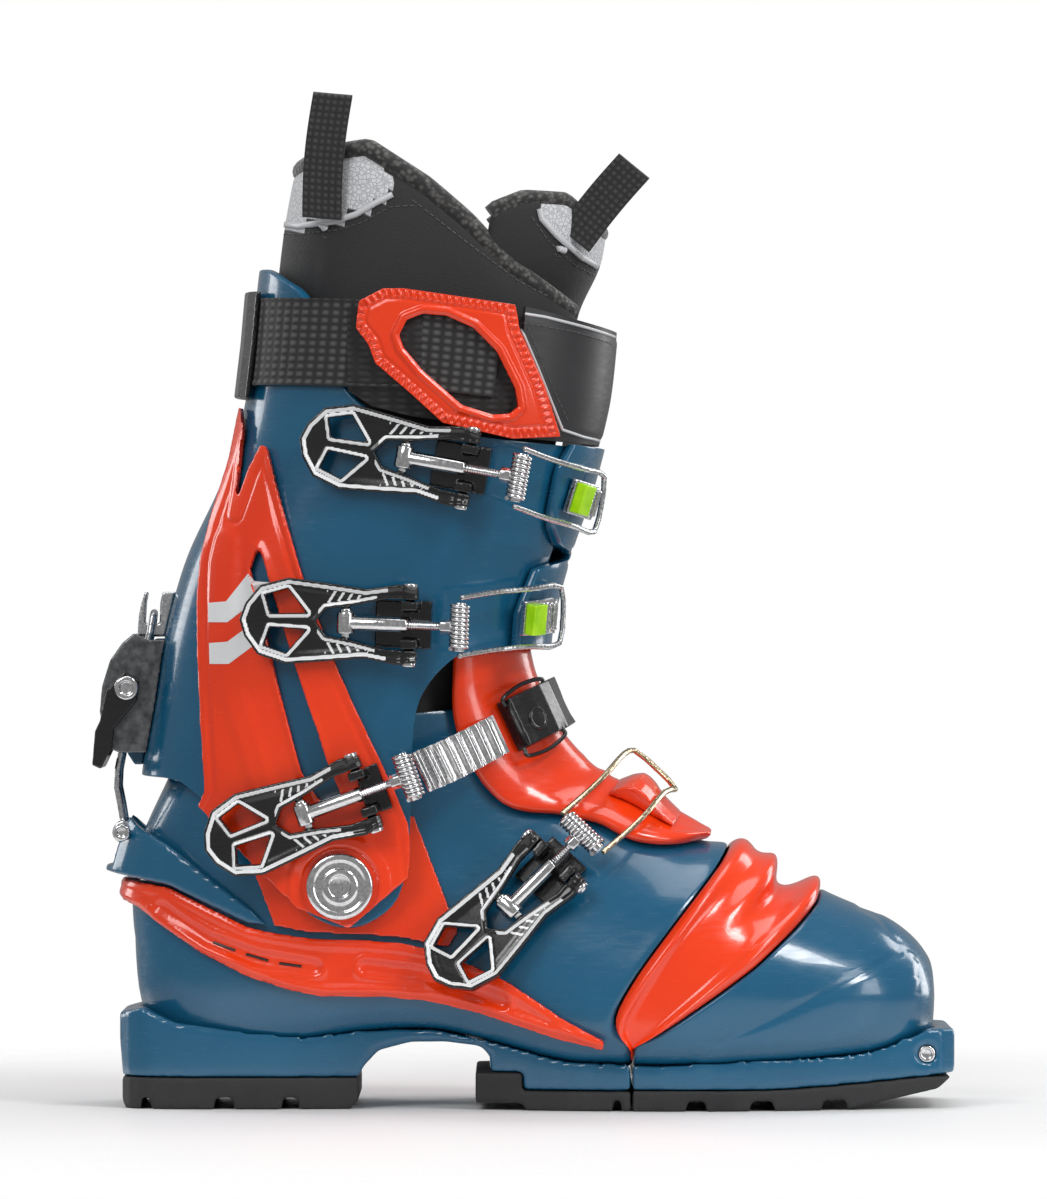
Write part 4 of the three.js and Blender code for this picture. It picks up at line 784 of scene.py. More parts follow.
def bellowsPiece():
    reach, seam = 22, 0.03

    def layer(offset):
        rows = []
        for w in steps(0, 1, 28):
            row = []
            for k in range(-reach, reach + 1):
                a = math.pi * k / 30
                rear, front = sectionAt(bellowsRear, a) - seam, sectionAt(bellowsFront, a) + seam
                side = abs(k / reach)
                fade = 1 - side ** 6
                top = 1 - smooth(0.12, 0.5, side)
                rim = 3.1 * (math.exp(-((w - 0.1) / 0.085) ** 2) + math.exp(-((w - 0.9) / 0.075) ** 2)) - 1.0
                row.append(footPoint(mix(rear, front, w), a,
                                     mix(rim, bellowsFold(w), top) * fade + 0.3 * (1 - fade) + offset))
            rows.append(row)
        return rows
    piece = wall("toeBellows", layer(0), layer(-2.2))
    subdivide(piece, 1)
    smoothShade(piece, 60)
    standFor(piece, "bellows", orange, blended=True)
    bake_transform(piece, "shell", "toe", start=place(154, 0, 68), end=place(181, 0, 53))
    return piece


lowerShell()
toeShell()
bellowsPiece()
print("shells and bellows made")

# Second-colour skins on the shell
beamGrooves = [[(-33, 72), (-24, 66), (-15.7, 61.3), (2, 55), (22.6, 51.6)],
               [(41.3, 51.6), (60, 49.5), (76, 44.5), (90, 39.5)]]
beamTopLine = [(-58, 85), (-30.5, 80), (-17, 73.5), (-1.5, 66), (7.5, 64), (21, 62), (42, 61.3),
               (54.5, 60.3), (68, 57.4),
               (81.5, 51.5), (92.5, 46.5), (104, 39), (112, 33.5), (127, 25.5)]
beamLowLine = [(-58, 78.5), (-41.5, 72.5), (-32.5, 66), (-19, 56.8), (-1.5, 48), (14.5, 43), (25.5, 41),
               (47.5, 41),
               (64.5, 39.5), (81.5, 35.6), (92.5, 32), (111.5, 26), (127, 22.6)]


def beamRelief(d, height):
    push = 0.0
    for line in beamGrooves:
        gap, _ = lineDistance(d.x, d.z, line)
        push -= 0.9 * (1 - smooth(1.6, 2.8, gap))
        push += 0.5 * (1 - smooth(0, 1.4, abs(gap - 4.0)))
    top, _ = lineDistance(d.x, d.z, beamTopLine)
    low, _ = lineDistance(d.x, d.z, beamLowLine)
    push += 1.0 * smooth(0.4, 2.0, low) * (1 - smooth(3.0, 5.2, low))
    push += 0.6 * smooth(0.4, 2.0, top) * (1 - smooth(2.6, 4.6, top))
    return push


def skinPiece(node, name, skin, levels, material, relief=None, voxel=0.9, soften=5):
    piece = remeshed(node, name, voxel, soften)
    settle(piece, skin, levels, relief=relief)
    smoothShade(piece)
    return standFor(piece, node, material)


skinPiece("side_beam", "sideBeam", footSkin, (1.0, 3.6), orange, beamRelief)
for sideName in ("lateral", "medial"):
    skinPiece("ankle_panel_" + sideName, "anklePanel_" + sideName, footSkin, (1.0, 2.2), orange, voxel=0.7,
              soften=3)
spoiler = remeshed("rear_spoiler", "rearSpoiler", 0.9, 14)
smoothShade(spoiler)
standFor(spoiler, "rear_spoiler", petrol)
print("beam, panels and spoiler made")

# Instep tongue
tongueLook = dict(gap=1.8, wall=3.4, rows=44, columns=28)
tongueOutline = [(70.8, 168), (70.1, 147.5), (70.8, 139), (74, 129), (81, 116.5), (89, 108.3), (98, 105.3),
                 (106.5, 105.5),
                 (125.5, 101.3), (132, 96.5), (140.5, 94), (151, 93), (161, 94.5), (165, 97), (172, 140),
                 (110, 210), (70, 210)]


def instepTongue():
    look = tongueLook

    def reach(s):
        return whereTrue(0.03, 2.2,
                         lambda a: not (lambda d: inside(d.x, d.z, tongueOutline))(design(footPoint(s, a))))
    rows = steps(6.78, lastSection + 0.2, look["rows"])
    reaches = [reach(s) for s in rows]
    reaches = [sum(reaches[max(0, i - 1):i + 2]) / len(reaches[max(0, i - 1):i + 2])
               for i in range(len(reaches))]

    def fold(s, v):                          # raised spine, cross folds and a stepped front
        spine = 1.2 * (1 - smooth(0.1, 0.45, abs(v)))
        cross = 1.1 * (1 - smooth(0, 0.16, abs(s - 10.4))) + 1.1 * (1 - smooth(0, 0.16, abs(s - 11.6)))
        edge = 0.8 * (1 - smooth(0.0, 0.12, abs(abs(v) - 0.86)))
        return (spine + cross + edge) * smooth(6.8, 7.4, s)

    def layer(offset, shaped):
        return [[footPoint(s, v * wide, offset + (fold(s, v) if shaped else 0))
                 for v in steps(-1, 1, look["columns"])]
                for s, wide in zip(rows, reaches)]
    piece = wall("instepTongue", layer(look["gap"] + look["wall"], True), layer(look["gap"], False))
    subdivide(piece, 1)
    smoothShade(piece, 60)
    standFor(piece, "instep_tongue", orange, blended=True)
    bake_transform(piece, "shell", "cuff", start=place(100, 0, 118), end=place(88, 0, 160))
    return piece


instepTongue()
ridge = remeshed("toe_catch", "toeCatch", 0.6, 6)
smoothShade(ridge)
standFor(ridge, "toe_catch", orange)

# Cuff
cuffLook = dict(wall=4.0, columns=150, rows=64, start=0.3, end=2 * math.pi + 0.75)
cuffBottom = straight([(-60, 121), (-32, 119.4), (-26, 118), (-17.5, 111.4), (-10.6, 102), (-0.7, 91),
                       (9, 82.3),
                       (15, 75.3), (22, 69.5), (31, 65.6), (40.5, 66), (50, 71.8), (55.5, 80), (57.3, 90),
                       (57.8, 131),
                       (59.3, 145), (62.5, 152), (67.3, 158), (74, 164), (92, 166.5), (110, 165.4)])
cuffTop = through([(-40, 305), (2, 304.5), (10, 300), (18.5, 293.5), (25.5, 279), (32.5, 262), (42, 252.5),
                   (53, 248),
                   (82, 243), (111, 240), (131, 238.5)])
flapEnd = straight([(165, 92), (179, 93), (187, 96), (195.5, 99.5), (198.5, 110), (201, 113), (203.5, 107.5),
                    (210, 104.8), (216, 104.8), (232, 108), (241, 113)])


def flapLift(t):
    return (cuffLook["wall"] + 0.6) * smooth(2 * math.pi - 0.5, 2 * math.pi + 0.02, t)


def crosses(edge, t, low, high):
    return whereTrue(low, high, lambda z: z > edge(design(cuffPoint(t, z)).x))


def cuffShell():
    look = cuffLook
    ts = steps(look["start"], look["end"], look["columns"])
    ends = [(crosses(cuffBottom, t, 58, 175), crosses(cuffTop, t, 200, 310)) for t in ts]
    shares = [0, 0.004, 0.012] + steps(0.025, 0.975, look["rows"]) + [0.988, 0.996, 1]

    def layer(offset):
        rows = []
        for v in shares:
            row = []
            for t, (low, high) in zip(ts, ends):
                z = mix(low, high, v)
                stop = 2 * math.pi + cuffAngle(flapEnd(z), z)
                turned = t + (stop - look["end"]) * smooth(1.5 * math.pi, look["end"],
                                                           t) if t > 1.5 * math.pi else t
                row.append(cuffPoint(turned, z, offset + flapLift(turned)))
            rows.append(row)
        return rows
    piece = wall("cuffShell", layer(0), layer(-look["wall"]))
    subdivide(piece, 1)
    smoothShade(piece, 50)
    return standFor(piece, "cuff_shell", petrol)


cuffShell()
overlayOutline = [(-4.7, 254.5), (-8.4, 235), (-14.6, 215), (-18.6, 198.7), (-19.7, 184), (-19.4, 166),
                  (-18.3, 140),
                  (-16.8, 115), (-24, 100), (0, 60), (60, 60), (56.7, 103), (51, 117), (45.3, 129),
                  (36.5, 147.5),
                  (31.5, 159), (19.5, 190), (11, 218.5), (5.5, 239), (3.7, 240.3), (-1.5, 230), (-6.5, 215),
                  (-5, 228),
                  (-3.5, 246), (-4.7, 254.5)]
overlaySpine = [(-9.5, 205), (-10, 184), (-6, 150), (4, 118), (16, 92)]
overlaySlot = [(2.6, 203), (4.7, 198.7), (15, 163.6), (27.8, 125), (33, 112.5), (24.5, 112), (18.3, 122),
               (10.2, 152),
               (2.8, 184), (-0.2, 195), (2.6, 203)]


def overlayRelief(d, height):
    rim, _ = lineDistance(d.x, d.z, overlayOutline)
    slot, _ = lineDistance(d.x, d.z, overlaySlot)
    spine, _ = lineDistance(d.x, d.z, overlaySpine)
    disc = math.hypot(d.x - 32, d.z - 81)
    push = -0.5 * (1 - smooth(0, 1.6, abs(rim - 3.0))) + 0.7 * (1 - smooth(0, 3.2, slot))
    push += 0.7 * (1 - smooth(2, 7, spine))
    push += 0.8 * (1 - smooth(17.5, 19.5, disc)) - 1.0 * (1 - smooth(13.6, 14.6, disc))
    return push


for sideName in ("lateral", "medial"):
    skinPiece("cuff_overlay_" + sideName, "cuffOverlay_" + sideName, cuffSkin, (1.0, 3.4), orange,
              overlayRelief, 0.8, 4)
print("cuff made")

# Soles
for node, name, voxel, soften, material in (
        ("sole_frame_rear", "soleFrameRear", 1.0, 6, petrol),
        ("sole_frame_toe", "soleFrameToe", 1.0, 6, petrol),
        ("heel_outsole", "heelOutsole", 0.8, 3, rubberBlack),
        ("ball_outsole", "ballOutsole", 0.8, 3, rubberBlack),
        ("toe_outsole", "toeOutsole", 0.8, 3, rubberBlack)):
    piece = remeshed(node, name, voxel, soften)
    smoothShade(piece)
    standFor(piece, node, material)
print("soles made")

# Tubes, patches and turned parts
def tube(name, points, radius, sides=4, closed=False):
    curve = bpy.data.curves.new(name, "CURVE")
    curve.dimensions = "3D"
    spline = curve.splines.new("POLY")
    spline.points.add(len(points) - 1)
    for spot, p in zip(spline.points, points):
        spot.co = (*p, 1)
    spline.use_cyclic_u = closed
    curve.bevel_depth = radius * mm
    curve.bevel_resolution = sides
    curve.use_fill_caps = not closed
    piece = bpy.data.objects.new(name, curve)
    bpy.context.scene.collection.objects.link(piece)
    bpy.ops.object.select_all(action="DESELECT")
    bpy.context.view_layer.objects.active = piece
    piece.select_set(True)
    bpy.ops.object.convert(target="MESH")
    piece = bpy.context.object
    piece.name = name
    tidyShell(piece)
    smoothShade(piece, 60)
    return piece


def curvePoints(points, count):              # smooth path through a few points
    axes = [through([(i, p[k]) for i, p in enumerate(points)]) for k in range(3)]
    return [Vector([f(u) for f in axes]) for u in steps(0, len(points) - 1, count)]


def joinAll(name, pieces):
    bpy.ops.object.select_all(action="DESELECT")
    for piece in pieces:
        piece.select_set(True)
    bpy.context.view_layer.objects.active = pieces[0]
    if len(pieces) > 1:
        bpy.ops.object.join()
    piece = bpy.context.object
    piece.name = name
    piece.select_set(False)
    return piece


def treeOf(*pieces):
    verts, faces = [], []
    for piece in pieces:
        start = len(verts)
        verts += [v.co.copy() for v in piece.data.vertices]
        faces += [[start + i for i in f.vertices] for f in piece.data.polygons]
    return BVHTree.FromPolygons(verts, faces)


def castSide(tree, x, z, side=-1):           # where a side-view point meets the outer face
    start = place(x, 0, z)
    start.y = side * 0.2
    hit, normal, _, _ = tree.ray_cast(start, Vector((0, -side, 0)))
    if hit is None:
        hit, normal, _, _ = tree.find_nearest(place(x, side * 60, z))
    if normal.y * side < 0:
        normal = -normal
    return hit, normal


def patch(name, outline, tree, lift, thick, side=-1, spacing=1.5):    # a thin layer laid on a piece
    from mathutils.geometry import delaunay_2d_cdt
    rim = []
    for i, (x1, z1) in enumerate(outline):
        x0, z0 = outline[i - 1]
        count = max(1, round(math.hypot(x1 - x0, z1 - z0) / spacing))
        rim += [Vector((mix(x0, x1, k / count), mix(z0, z1, k / count))) for k in range(count)]
    xs, zs = [p[0] for p in outline], [p[1] for p in outline]
    fill = []
    for i in range(int((max(xs) - min(xs)) / spacing) + 1):
        for k in range(int((max(zs) - min(zs)) / spacing) + 1):
            x, z = min(xs) + (i + 0.5 * (k % 2)) * spacing, min(zs) + k * spacing
            if inside(x, z, outline) and min((p - Vector((x, z))).length for p in rim) > spacing * 0.6:
                fill.append(Vector((x, z)))
    loop = [(i, (i + 1) % len(rim)) for i in range(len(rim))]
    flat, _, faces, *_ = delaunay_2d_cdt(rim + fill, loop, [], 1, 1e-5)
    verts = []
    for p in flat:
        hit, normal = castSide(tree, p.x, p.y, side)
        verts.append(hit + normal * lift * mm)
    piece = newPiece(name, verts, [tuple(f) for f in faces], [(p.x * mm, p.y * mm) for p in flat])
    tidyShell(piece, 1e-6, False)
    facing = sum((f.normal.y * f.area for f in piece.data.polygons))
    if facing * side < 0:
        piece.data.flip_normals()
    coat = piece.modifiers.new("Solidify", "SOLIDIFY")
    coat.thickness = thick * mm
    coat.offset = 1
    applyAll(piece)
    smoothShade(piece, 50)
    return piece


# rings are (inset, push) steps on the outer face


def disc(name, at, direction, radius, depth, rings, sides=48):
    direction = Vector(direction).normalized()
    turn = direction.to_track_quat("Z", "Y")
    bpy.ops.object.select_all(action="DESELECT")
    bpy.ops.mesh.primitive_cylinder_add(vertices=sides, radius=radius * mm, depth=depth * mm,
                                        location=at + direction * depth * mm / 2, rotation=turn.to_euler())
    piece = bpy.context.object
    piece.name = name
    bpy.ops.object.mode_set(mode="EDIT")
    bpy.ops.mesh.select_all(action="DESELECT")
    work = bmesh.from_edit_mesh(piece.data)
    work.faces.ensure_lookup_table()
    cap = max(work.faces, key=lambda f: f.calc_center_median().z)
    cap.select = True
    work.faces.active = cap
    bmesh.update_edit_mesh(piece.data)
    for inset, push in rings:
        if inset:
            bpy.ops.mesh.inset(thickness=inset * mm)
        if push:
            bpy.ops.transform.translate(value=direction * push * mm)
    bpy.ops.object.mode_set(mode="OBJECT")
    edge = piece.modifiers.new("Bevel", "BEVEL")
    edge.width = min(0.35, radius * 0.12) * mm
    edge.segments = 2
    edge.limit_method = "ANGLE"
    edge.angle_limit = math.radians(35)
    applyAll(piece)
    piece.select_set(True)
    bpy.ops.object.transform_apply(location=True, rotation=True, scale=True)
    smoothShade(piece, 35)
    return piece


def rod(name, start, end, radius, sides=24, rings=((0.4, 0.0),)):
    way = end - start
    return disc(name, start, way, radius, way.length / mm, rings, sides)


print("small parts ready")

# Buckles
buckleLook = dict(half=15.5, tail=61, linkReach=23, instepReach=17.5, coilLength=17.5, coilWire=0.75,
                  coilRadius=3.0,
                  coilTurns=10, rim=0.9, lineWidth=0.42)


class Buckle:
    def __init__(self, name):
        self.name = name
        lever, link = joints[name + "_lever_hinge"], joints[name + "_link_hinge"]
        self.base = Vector(lever["pos_m"])
        self.along = (Vector(link["pos_m"]) - self.base).normalized()
        self.across = -Vector(lever["axis"]).normalized()
        self.up = self.along.cross(self.across)
        bail = joints.get(name + "_bail_hinge")
        self.reach = (Vector(bail["pos_m"]) - self.base).length / mm if bail else buckleLook["instepReach"]

    def at(self, x, y, z):
        return self.base + (self.along * x + self.across * y + self.up * z) * mm

    def local(self, point):
        d = (point - self.base) / mm
        return d.dot(self.along), d.dot(self.across), d.dot(self.up)


half, tail = buckleLook["half"], buckleLook["tail"]
leverEdge = [(-3, half - 2), (4, half - 1), (16, half - 3), (30, half - 1.4), (44, half), (54, half - 3),
             (tail - 2, 6), (tail, 0)]
leverWindow = [(37, 3), (44, 11.5), (52, 9), (50, 2.5), (37, 3)]
leverFork = [(-3, half - 6.4), (8, half - 6.4), (20, 6.4), (30, 4.8), (34, 0)]


def lever(buckle):
    piece = remeshed(buckle.name + "_lever", buckle.name + "Lever", 0.45, 3)
    paint = piece.data.attributes.new("line", "FLOAT", "POINT")
    shares = []
    for v in piece.data.vertices:
        x, y, z = buckle.local(v.co)
        side = abs(y)
        rim, _ = lineDistance(x, side, leverEdge)
        gap, _ = lineDistance(x, side, leverWindow)
        fork, run = lineDistance(x, side, leverFork)
        wide = buckleLook["lineWidth"]
        mark = max(1 - smooth(wide, wide + 0.4, abs(rim - 1.5)) if x > 8 else 0,
                   1 - smooth(wide * 0.8, wide + 0.3, abs(gap - 1.0)) if 30 < x else 0,
                   1 - smooth(wide * 0.8, wide + 0.3, abs(fork - 1.4)) if 12 < x < 33 else 0)
        if 14 < x < 30 and 2.6 < rim and fork > 2.2:
            mark = max(mark, 1 - smooth(0.35, 0.7, abs((x + 0.6 * side) % 3.2 - 1.6)))
        if z < 0.2:
            mark = 0
        shares.append(mark)
        if z > 0:
            lift = (0.9 * (1 - smooth(0.8, 2.4, rim))
                    + 0.7 * (1 - smooth(0.5, 2.0, gap))
                    + 0.5 * (1 - smooth(0.4, 1.8, fork)))
            sag = -0.5 * smooth(2.5, 5, rim)
            bow = 2.4 * smooth(30, 62, x) ** 1.5
            v.co += buckle.up * (lift + sag + bow) * mm
        else:
            v.co += buckle.up * (2.4 * smooth(30, 62, x) ** 1.5) * mm
    paint.data.foreach_set("value", shares)
    smoothShade(piece)
    standFor(piece, buckle.name + "_lever", leverBlack)
    screws = []
    for sign in (-1, 1):
        screws.append(disc(buckle.name + "Screw", buckle.at(0, sign * (half - 2.2), 0),
                           buckle.across * sign, 2.6, 1.5,
                           ((0.5, 0.25), (0.5, 0.0), (0.35, -0.8)), 24))
    screws.append(disc(buckle.name + "Boss", buckle.at(23, -3.6, 0), buckle.across * -1, 2.3, 1.2,
                       ((0.4, 0.2), (0.5, -0.4)), 20))
    finishPiece(joinAll(buckle.name + "Screws", screws), buckle.name + "_lever", "steel", brightSteel)


def link(buckle):
    look = buckleLook
    reach = look["linkReach"]
    tubePart = rod("linkTube", buckle.at(reach + 1.5, 0, 0), buckle.at(1, 0, 0), 2.7, 32,
                   ((0.45, 0.3), (0.5, -0.9)))
    eye = rod("linkEye", buckle.at(reach, -3.7, 0), buckle.at(reach, 3.7, 0), 3.3, 24,
              ((0.5, 0.2), (0.6, -0.3)))
    profile = []
    for i in range(int((buckle.reach + 0.5) / 0.45)):
        profile.append((1.5 - 0.45 * i, 1.62 if i % 2 else 1.28))
    sides, verts, faces = 20, [], []
    for x, r in profile:
        verts += [buckle.at(x, r * math.cos(2 * math.pi * k / sides), r * math.sin(2 * math.pi * k / sides))
                  for k in range(sides)]
    for i in range(len(profile) - 1):
        for k in range(sides):
            n = (k + 1) % sides
            faces.append((i * sides + k, i * sides + n, (i + 1) * sides + n, (i + 1) * sides + k))
    faces.append(tuple(range(sides))[::-1])
    faces.append(tuple((len(profile) - 1) * sides + k for k in range(sides)))
    thread = newPiece("linkThread", verts, faces)
    tidyShell(thread)
    smoothShade(thread, 60)
    turns, long = look["coilTurns"], look["coilLength"]
    count = turns * 16
    helix = [buckle.at(-buckle.reach + look["coilRadius"] * math.cos(2 * math.pi * i / 16),
                       mix(-long / 2 + 0.8, long / 2 - 0.8, i / count),
                       look["coilRadius"] * math.sin(2 * math.pi * i / 16))
             for i in range(count + 1)]
    coil = tube("linkCoil", helix, look["coilWire"], 3)
    core = rod("linkCore", buckle.at(-buckle.reach, -long / 2, 0), buckle.at(-buckle.reach, long / 2, 0),
               2.1, 20)
    nut = rod("linkNut", buckle.at(-buckle.reach + 6.8, 0, 0), buckle.at(-buckle.reach + 3.0, 0, 0), 2.9, 6,
              ((0.5, 0.2),))
    metalParts = joinAll(buckle.name + "Link", [tubePart, eye, thread, coil, core, nut])
    standFor(metalParts, buckle.name + "_link", brightSteel)


buckles = {name: Buckle(name) for name in ("upper", "lower", "instep", "toe")}
for buckle in buckles.values():
    lever(buckle)
    link(buckle)
    base = remeshed(buckle.name + "_buckle_base", buckle.name + "BuckleBase", 0.5, 2)
    smoothShade(base)
    finishPiece(base, nodeBody[buckle.name + "_buckle_base"], "black_plastic", blackGloss,
                buckle.name + "_buckle_base")
for name, voxel, soften, material in (
        ("upper_bail", 0.42, 5, steel), ("lower_bail", 0.42, 5, steel), ("toe_bail", 0.42, 5, goldZinc),
        ("upper_catch", 0.4, 2, brightSteel), ("lower_catch", 0.4, 2, brightSteel),
        ("upper_catch_block", 0.4, 3, lime), ("lower_catch_block", 0.4, 3, lime)):
    piece = remeshed(name, "".join(w.capitalize() if i else w for i, w in enumerate(name.split("_"))),
                     voxel, soften)
    smoothShade(piece)
    standFor(piece, name, material)
print("buckles made")

# Instep ladder and catch
ladderLook = dict(start=(58.5, 122), end=(86, 134.5), half=7.6, waves=8, depth=0.95, thick=1.5)
footTree = BVHTree.FromPolygons(footSkin.verts, footSkin.faces)


def footAt(x, z, lift):
    start = place(x, -150, z)
    hit, _, _, _ = footTree.ray_cast(start, Vector((0, 1, 0)))
    if hit is None:
        hit = footTree.find_nearest(place(x, -30, z))[0]
    spot, normal, _ = footSkin.nearest(hit)
    return spot + normal * lift * mm


def ladderPoint(u, v, lift):
    look = ladderLook
    x, z = mix(look["start"][0], look["end"][0], u), mix(look["start"][1], look["end"][1], u)
    heading = Vector((look["end"][0] - look["start"][0], look["end"][1] - look["start"][1])).normalized()
    px, pz = x - heading.y * v, z + heading.x * v
    cuffSide = cuffPoint(cuffAngle(px, pz), pz, 7 + lift)
    footSide = footAt(px, pz, tongueLook["wall"] + tongueLook["gap"] + 1.6 + lift)
    return cuffSide.lerp(footSide, smooth(0.1, 1, u))


def instepLadder():
    look = ladderLook

    def layer(lift):
        return [[ladderPoint(u, v, lift + look["depth"] * math.sin(2 * math.pi * look["waves"] * u)
                             * (1 - smooth(0.85, 1, abs(v) / look["half"]) * 0.5))
                 for v in steps(-look["half"], look["half"], 8)] for u in steps(0, 1, 96)]
    piece = wall("instepLadder", layer(look["thick"]), layer(0))
    smoothShade(piece, 60)
    return standFor(piece, "instep_ladder", brightSteel)


instepLadder()
catch = remeshed("instep_catch", "instepCatch", 0.5, 4)
smoothShade(catch)
standFor(catch, "instep_catch", blackGloss)
loops = []
for sign in (-1, 1):
    low, high = ladderPoint(1.12, sign * 9, 3.6), ladderPoint(1.5, sign * 9, 4.0)
    out = (ladderPoint(1.3, sign * 9, 8) - ladderPoint(1.3, sign * 9, 0)).normalized()
    across = (ladderPoint(1.3, 9, 4) - ladderPoint(1.3, -9, 4)).normalized() * sign
    loops.append(tube("cableLoop", curvePoints([low, low + (across * 3 + out) * mm,
                                                low.lerp(high, 0.5) + (across * 4.5 + out * 1.5) * mm,
                                                high + (across * 3 + out) * mm, high], 32), 0.8, 3))
button = disc("catchButton", ladderPoint(1.32, 0, 4.6), ladderPoint(1.32, 0, 8) - ladderPoint(1.32, 0, 3),
              4.4, 1.4,
              ((0.7, 0.3), (0.6, -0.4), (1.2, 0.3)), 40)
finishPiece(joinAll("catchTrim", loops + [button]), nodeBody["instep_catch"], "black_plastic", blackGloss)
print("instep strap made")

# Rivets, inserts and walk mechanism
for sideName, sign in (("lateral", -1), ("medial", 1)):
    low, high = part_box("cuff_rivet_" + sideName)
    outer = (low.y if sign < 0 else high.y)
    at = Vector((pivot.x, outer - sign * 2.6 * mm, pivot.z))
    head = disc("rivetHead", at, (0, sign, 0), 12, 2.1,
                ((0.9, 0.5), (1.6, 0), (0.5, -0.5), (2.4, 0), (0.5, 0.5), (2.0, 0), (0.3, -1.6)), 72)
    shank = rod("rivetShank", Vector((pivot.x, (high.y if sign < 0 else low.y), pivot.z)), at, 5, 32)
    standFor(joinAll("pivotRivet_" + sideName, [head, shank]), "cuff_rivet_" + sideName, brightSteel)
    low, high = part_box("toe_insert_" + sideName)
    middle = (low + high) / 2
    face = low.y if sign < 0 else high.y
    socket = disc("insertHead", Vector((middle.x, face - sign * 5.2 * mm, middle.z)), (0, sign, 0), 3.1,
                  5.1, ((0.5, 0.1), (0.7, 0), (0.25, -1.6)), 32)
    standFor(socket, "toe_insert_" + sideName, brightSteel)

for name, voxel, soften, material in (
        ("walk_housing", 0.55, 4, castGrey), ("walk_lever", 0.5, 4, blackGloss), ("walk_bar", 0.45, 5, steel),
        ("walk_hook", 0.45, 2, steel), ("walk_rack", 0.5, 2, petrol), ("spoiler_axle", 0.4, 3, steel),
        ("strap_keeper", 0.5, 6, blackGloss), ("boot_board", 0.8, 2, blackGloss)):
    piece = remeshed(name, "".join(w.capitalize() if i else w for i, w in enumerate(name.split("_"))),
                     voxel, soften)
    smoothShade(piece)
    standFor(piece, name, material)
walkPivot = Vector(joints["walk_lever_flip"]["pos_m"])
low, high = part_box("walk_lever")
screws = [disc("walkScrew", Vector((walkPivot.x, y, walkPivot.z)), (0, sign, 0), 4.4, 0.9,
               ((0.6, 0.3), (1.2, 0), (0.3, -0.7)), 32)
          for sign, y in ((-1, low.y + 0.2 * mm), (1, high.y - 0.2 * mm))]
finishPiece(joinAll("walkScrews", screws), "walk_lever", "steel", brightSteel)
low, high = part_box("spoiler_axle")
middle = (low + high) / 2
bolts = [disc("hornBolt", Vector((middle.x, y, middle.z)), (0, sign, 0), 3.0, 1.0,
              ((0.5, 0.2), (0.9, 0), (0.2, -0.6)), 24)
         for sign, y in ((-1, low.y - 0.2 * mm), (1, high.y + 0.2 * mm))]
finishPiece(joinAll("hornBolts", bolts), "shell", "steel", brightSteel)
print("rivets and walk mechanism made")

# Power strap
strapLook = dict(gap=0.5, thick=1.6, frameGap=2.4, frameTop=4.8, ribPitch=2.6, ribDepth=0.55)
strapLow = straight([(-10, 262.4), (60, 260), (135, 252)])
strapHigh = straight([(-10, 294), (60, 291), (135, 284)])
panelHigh = straight([(90, 291), (135, 280)])


def strapBand(name, ts, shares, low, high, inner, outer, relief=None):
    def layer(offset, shaped):
        rows = []
        for v in shares:
            row = []
            for t in ts:
                x = design(cuffPoint(t, 270)).x
                z = mix(low(x), high(x), v)
                row.append(cuffPoint(t, z, offset + (relief(v, x) if shaped and relief else 0)))
            rows.append(row)
        return rows
    piece = wall(name, layer(outer, True), layer(inner, False))
    smoothShade(piece, 50)
    return piece


def selvedge(v, x):                          # thicker woven edges, with a shallow ripple along the web
    edge = 0.35 * (1 - smooth(0.03, 0.06, min(v, 1 - v)))
    return edge + 0.12 * math.sin(x * 2.1) * smooth(0.05, 0.1, min(v, 1 - v))


look = strapLook
band = strapBand("powerStrap", steps(1.25, 2 * math.pi - 0.7, 240),
                 [0, 0.01] + steps(0.03, 0.97, 30) + [0.99, 1],
                 strapLow, strapHigh, look["gap"], look["gap"] + look["thick"], selvedge)
standFor(band, "power_strap", strapWeave)
panel = strapBand("strapPanel", steps(-0.66, 1.12, 90), [0, 0.01] + steps(0.03, 0.97, 30) + [0.99, 1],
                  lambda x: cuffTop(x) + 1.5, panelHigh, look["gap"], look["gap"] + look["thick"],
                  lambda v, x: 0.5 * smooth(0.05, 0.1, v) * (1 - smooth(0.9, 0.95, v)))
panelCloth = mouldedPlastic("strapPanelSkin", (0.030, 0.031, 0.033), (0.020, 0.020, 0.022), 0.42, 0.0)
standFor(panel, "strap_panel", panelCloth)

frameOuter = [(37.4, 285.6), (39.4, 291.5), (47.8, 295.8), (55, 295.8), (95, 290), (96.5, 281), (105, 262),
              (111, 243),
              (94, 242), (69, 247.6), (57.7, 258), (45, 269), (42.4, 276), (38, 281.7), (37.4, 285.6)]
frameInner = [(53.5, 279), (56.2, 284.5), (62, 286.7), (70.3, 286), (80, 281.7), (88.4, 273.3), (95, 260),
              (96, 253.5),
              (93, 251), (87, 250.6), (76, 254), (62, 266.3), (55, 274.7), (53.5, 279)]


def frameRelief(d, height):                  # ribbed outer edge, raised lip round the opening
    rim, run = lineDistance(d.x, d.z, frameOuter)
    gap, _ = lineDistance(d.x, d.z, frameInner)
    ribs = (strapLook["ribDepth"] * math.sin(2 * math.pi * run / strapLook["ribPitch"])
            * (1 - smooth(2.6, 3.4, rim)) * smooth(0.4, 1.0, rim))
    return (ribs - 0.5 * (1 - smooth(0, 0.8, abs(rim - 3.8)))
            + 0.8 * smooth(0.3, 1.2, gap) * (1 - smooth(2.2, 3.2, gap)))


strapFrame = remeshed("strap_frame", "strapFrame", 0.5, 6)
settle(strapFrame, cuffSkin, (look["frameGap"], look["frameTop"]), relief=frameRelief)
smoothShade(strapFrame)
standFor(strapFrame, "strap_frame", orange)

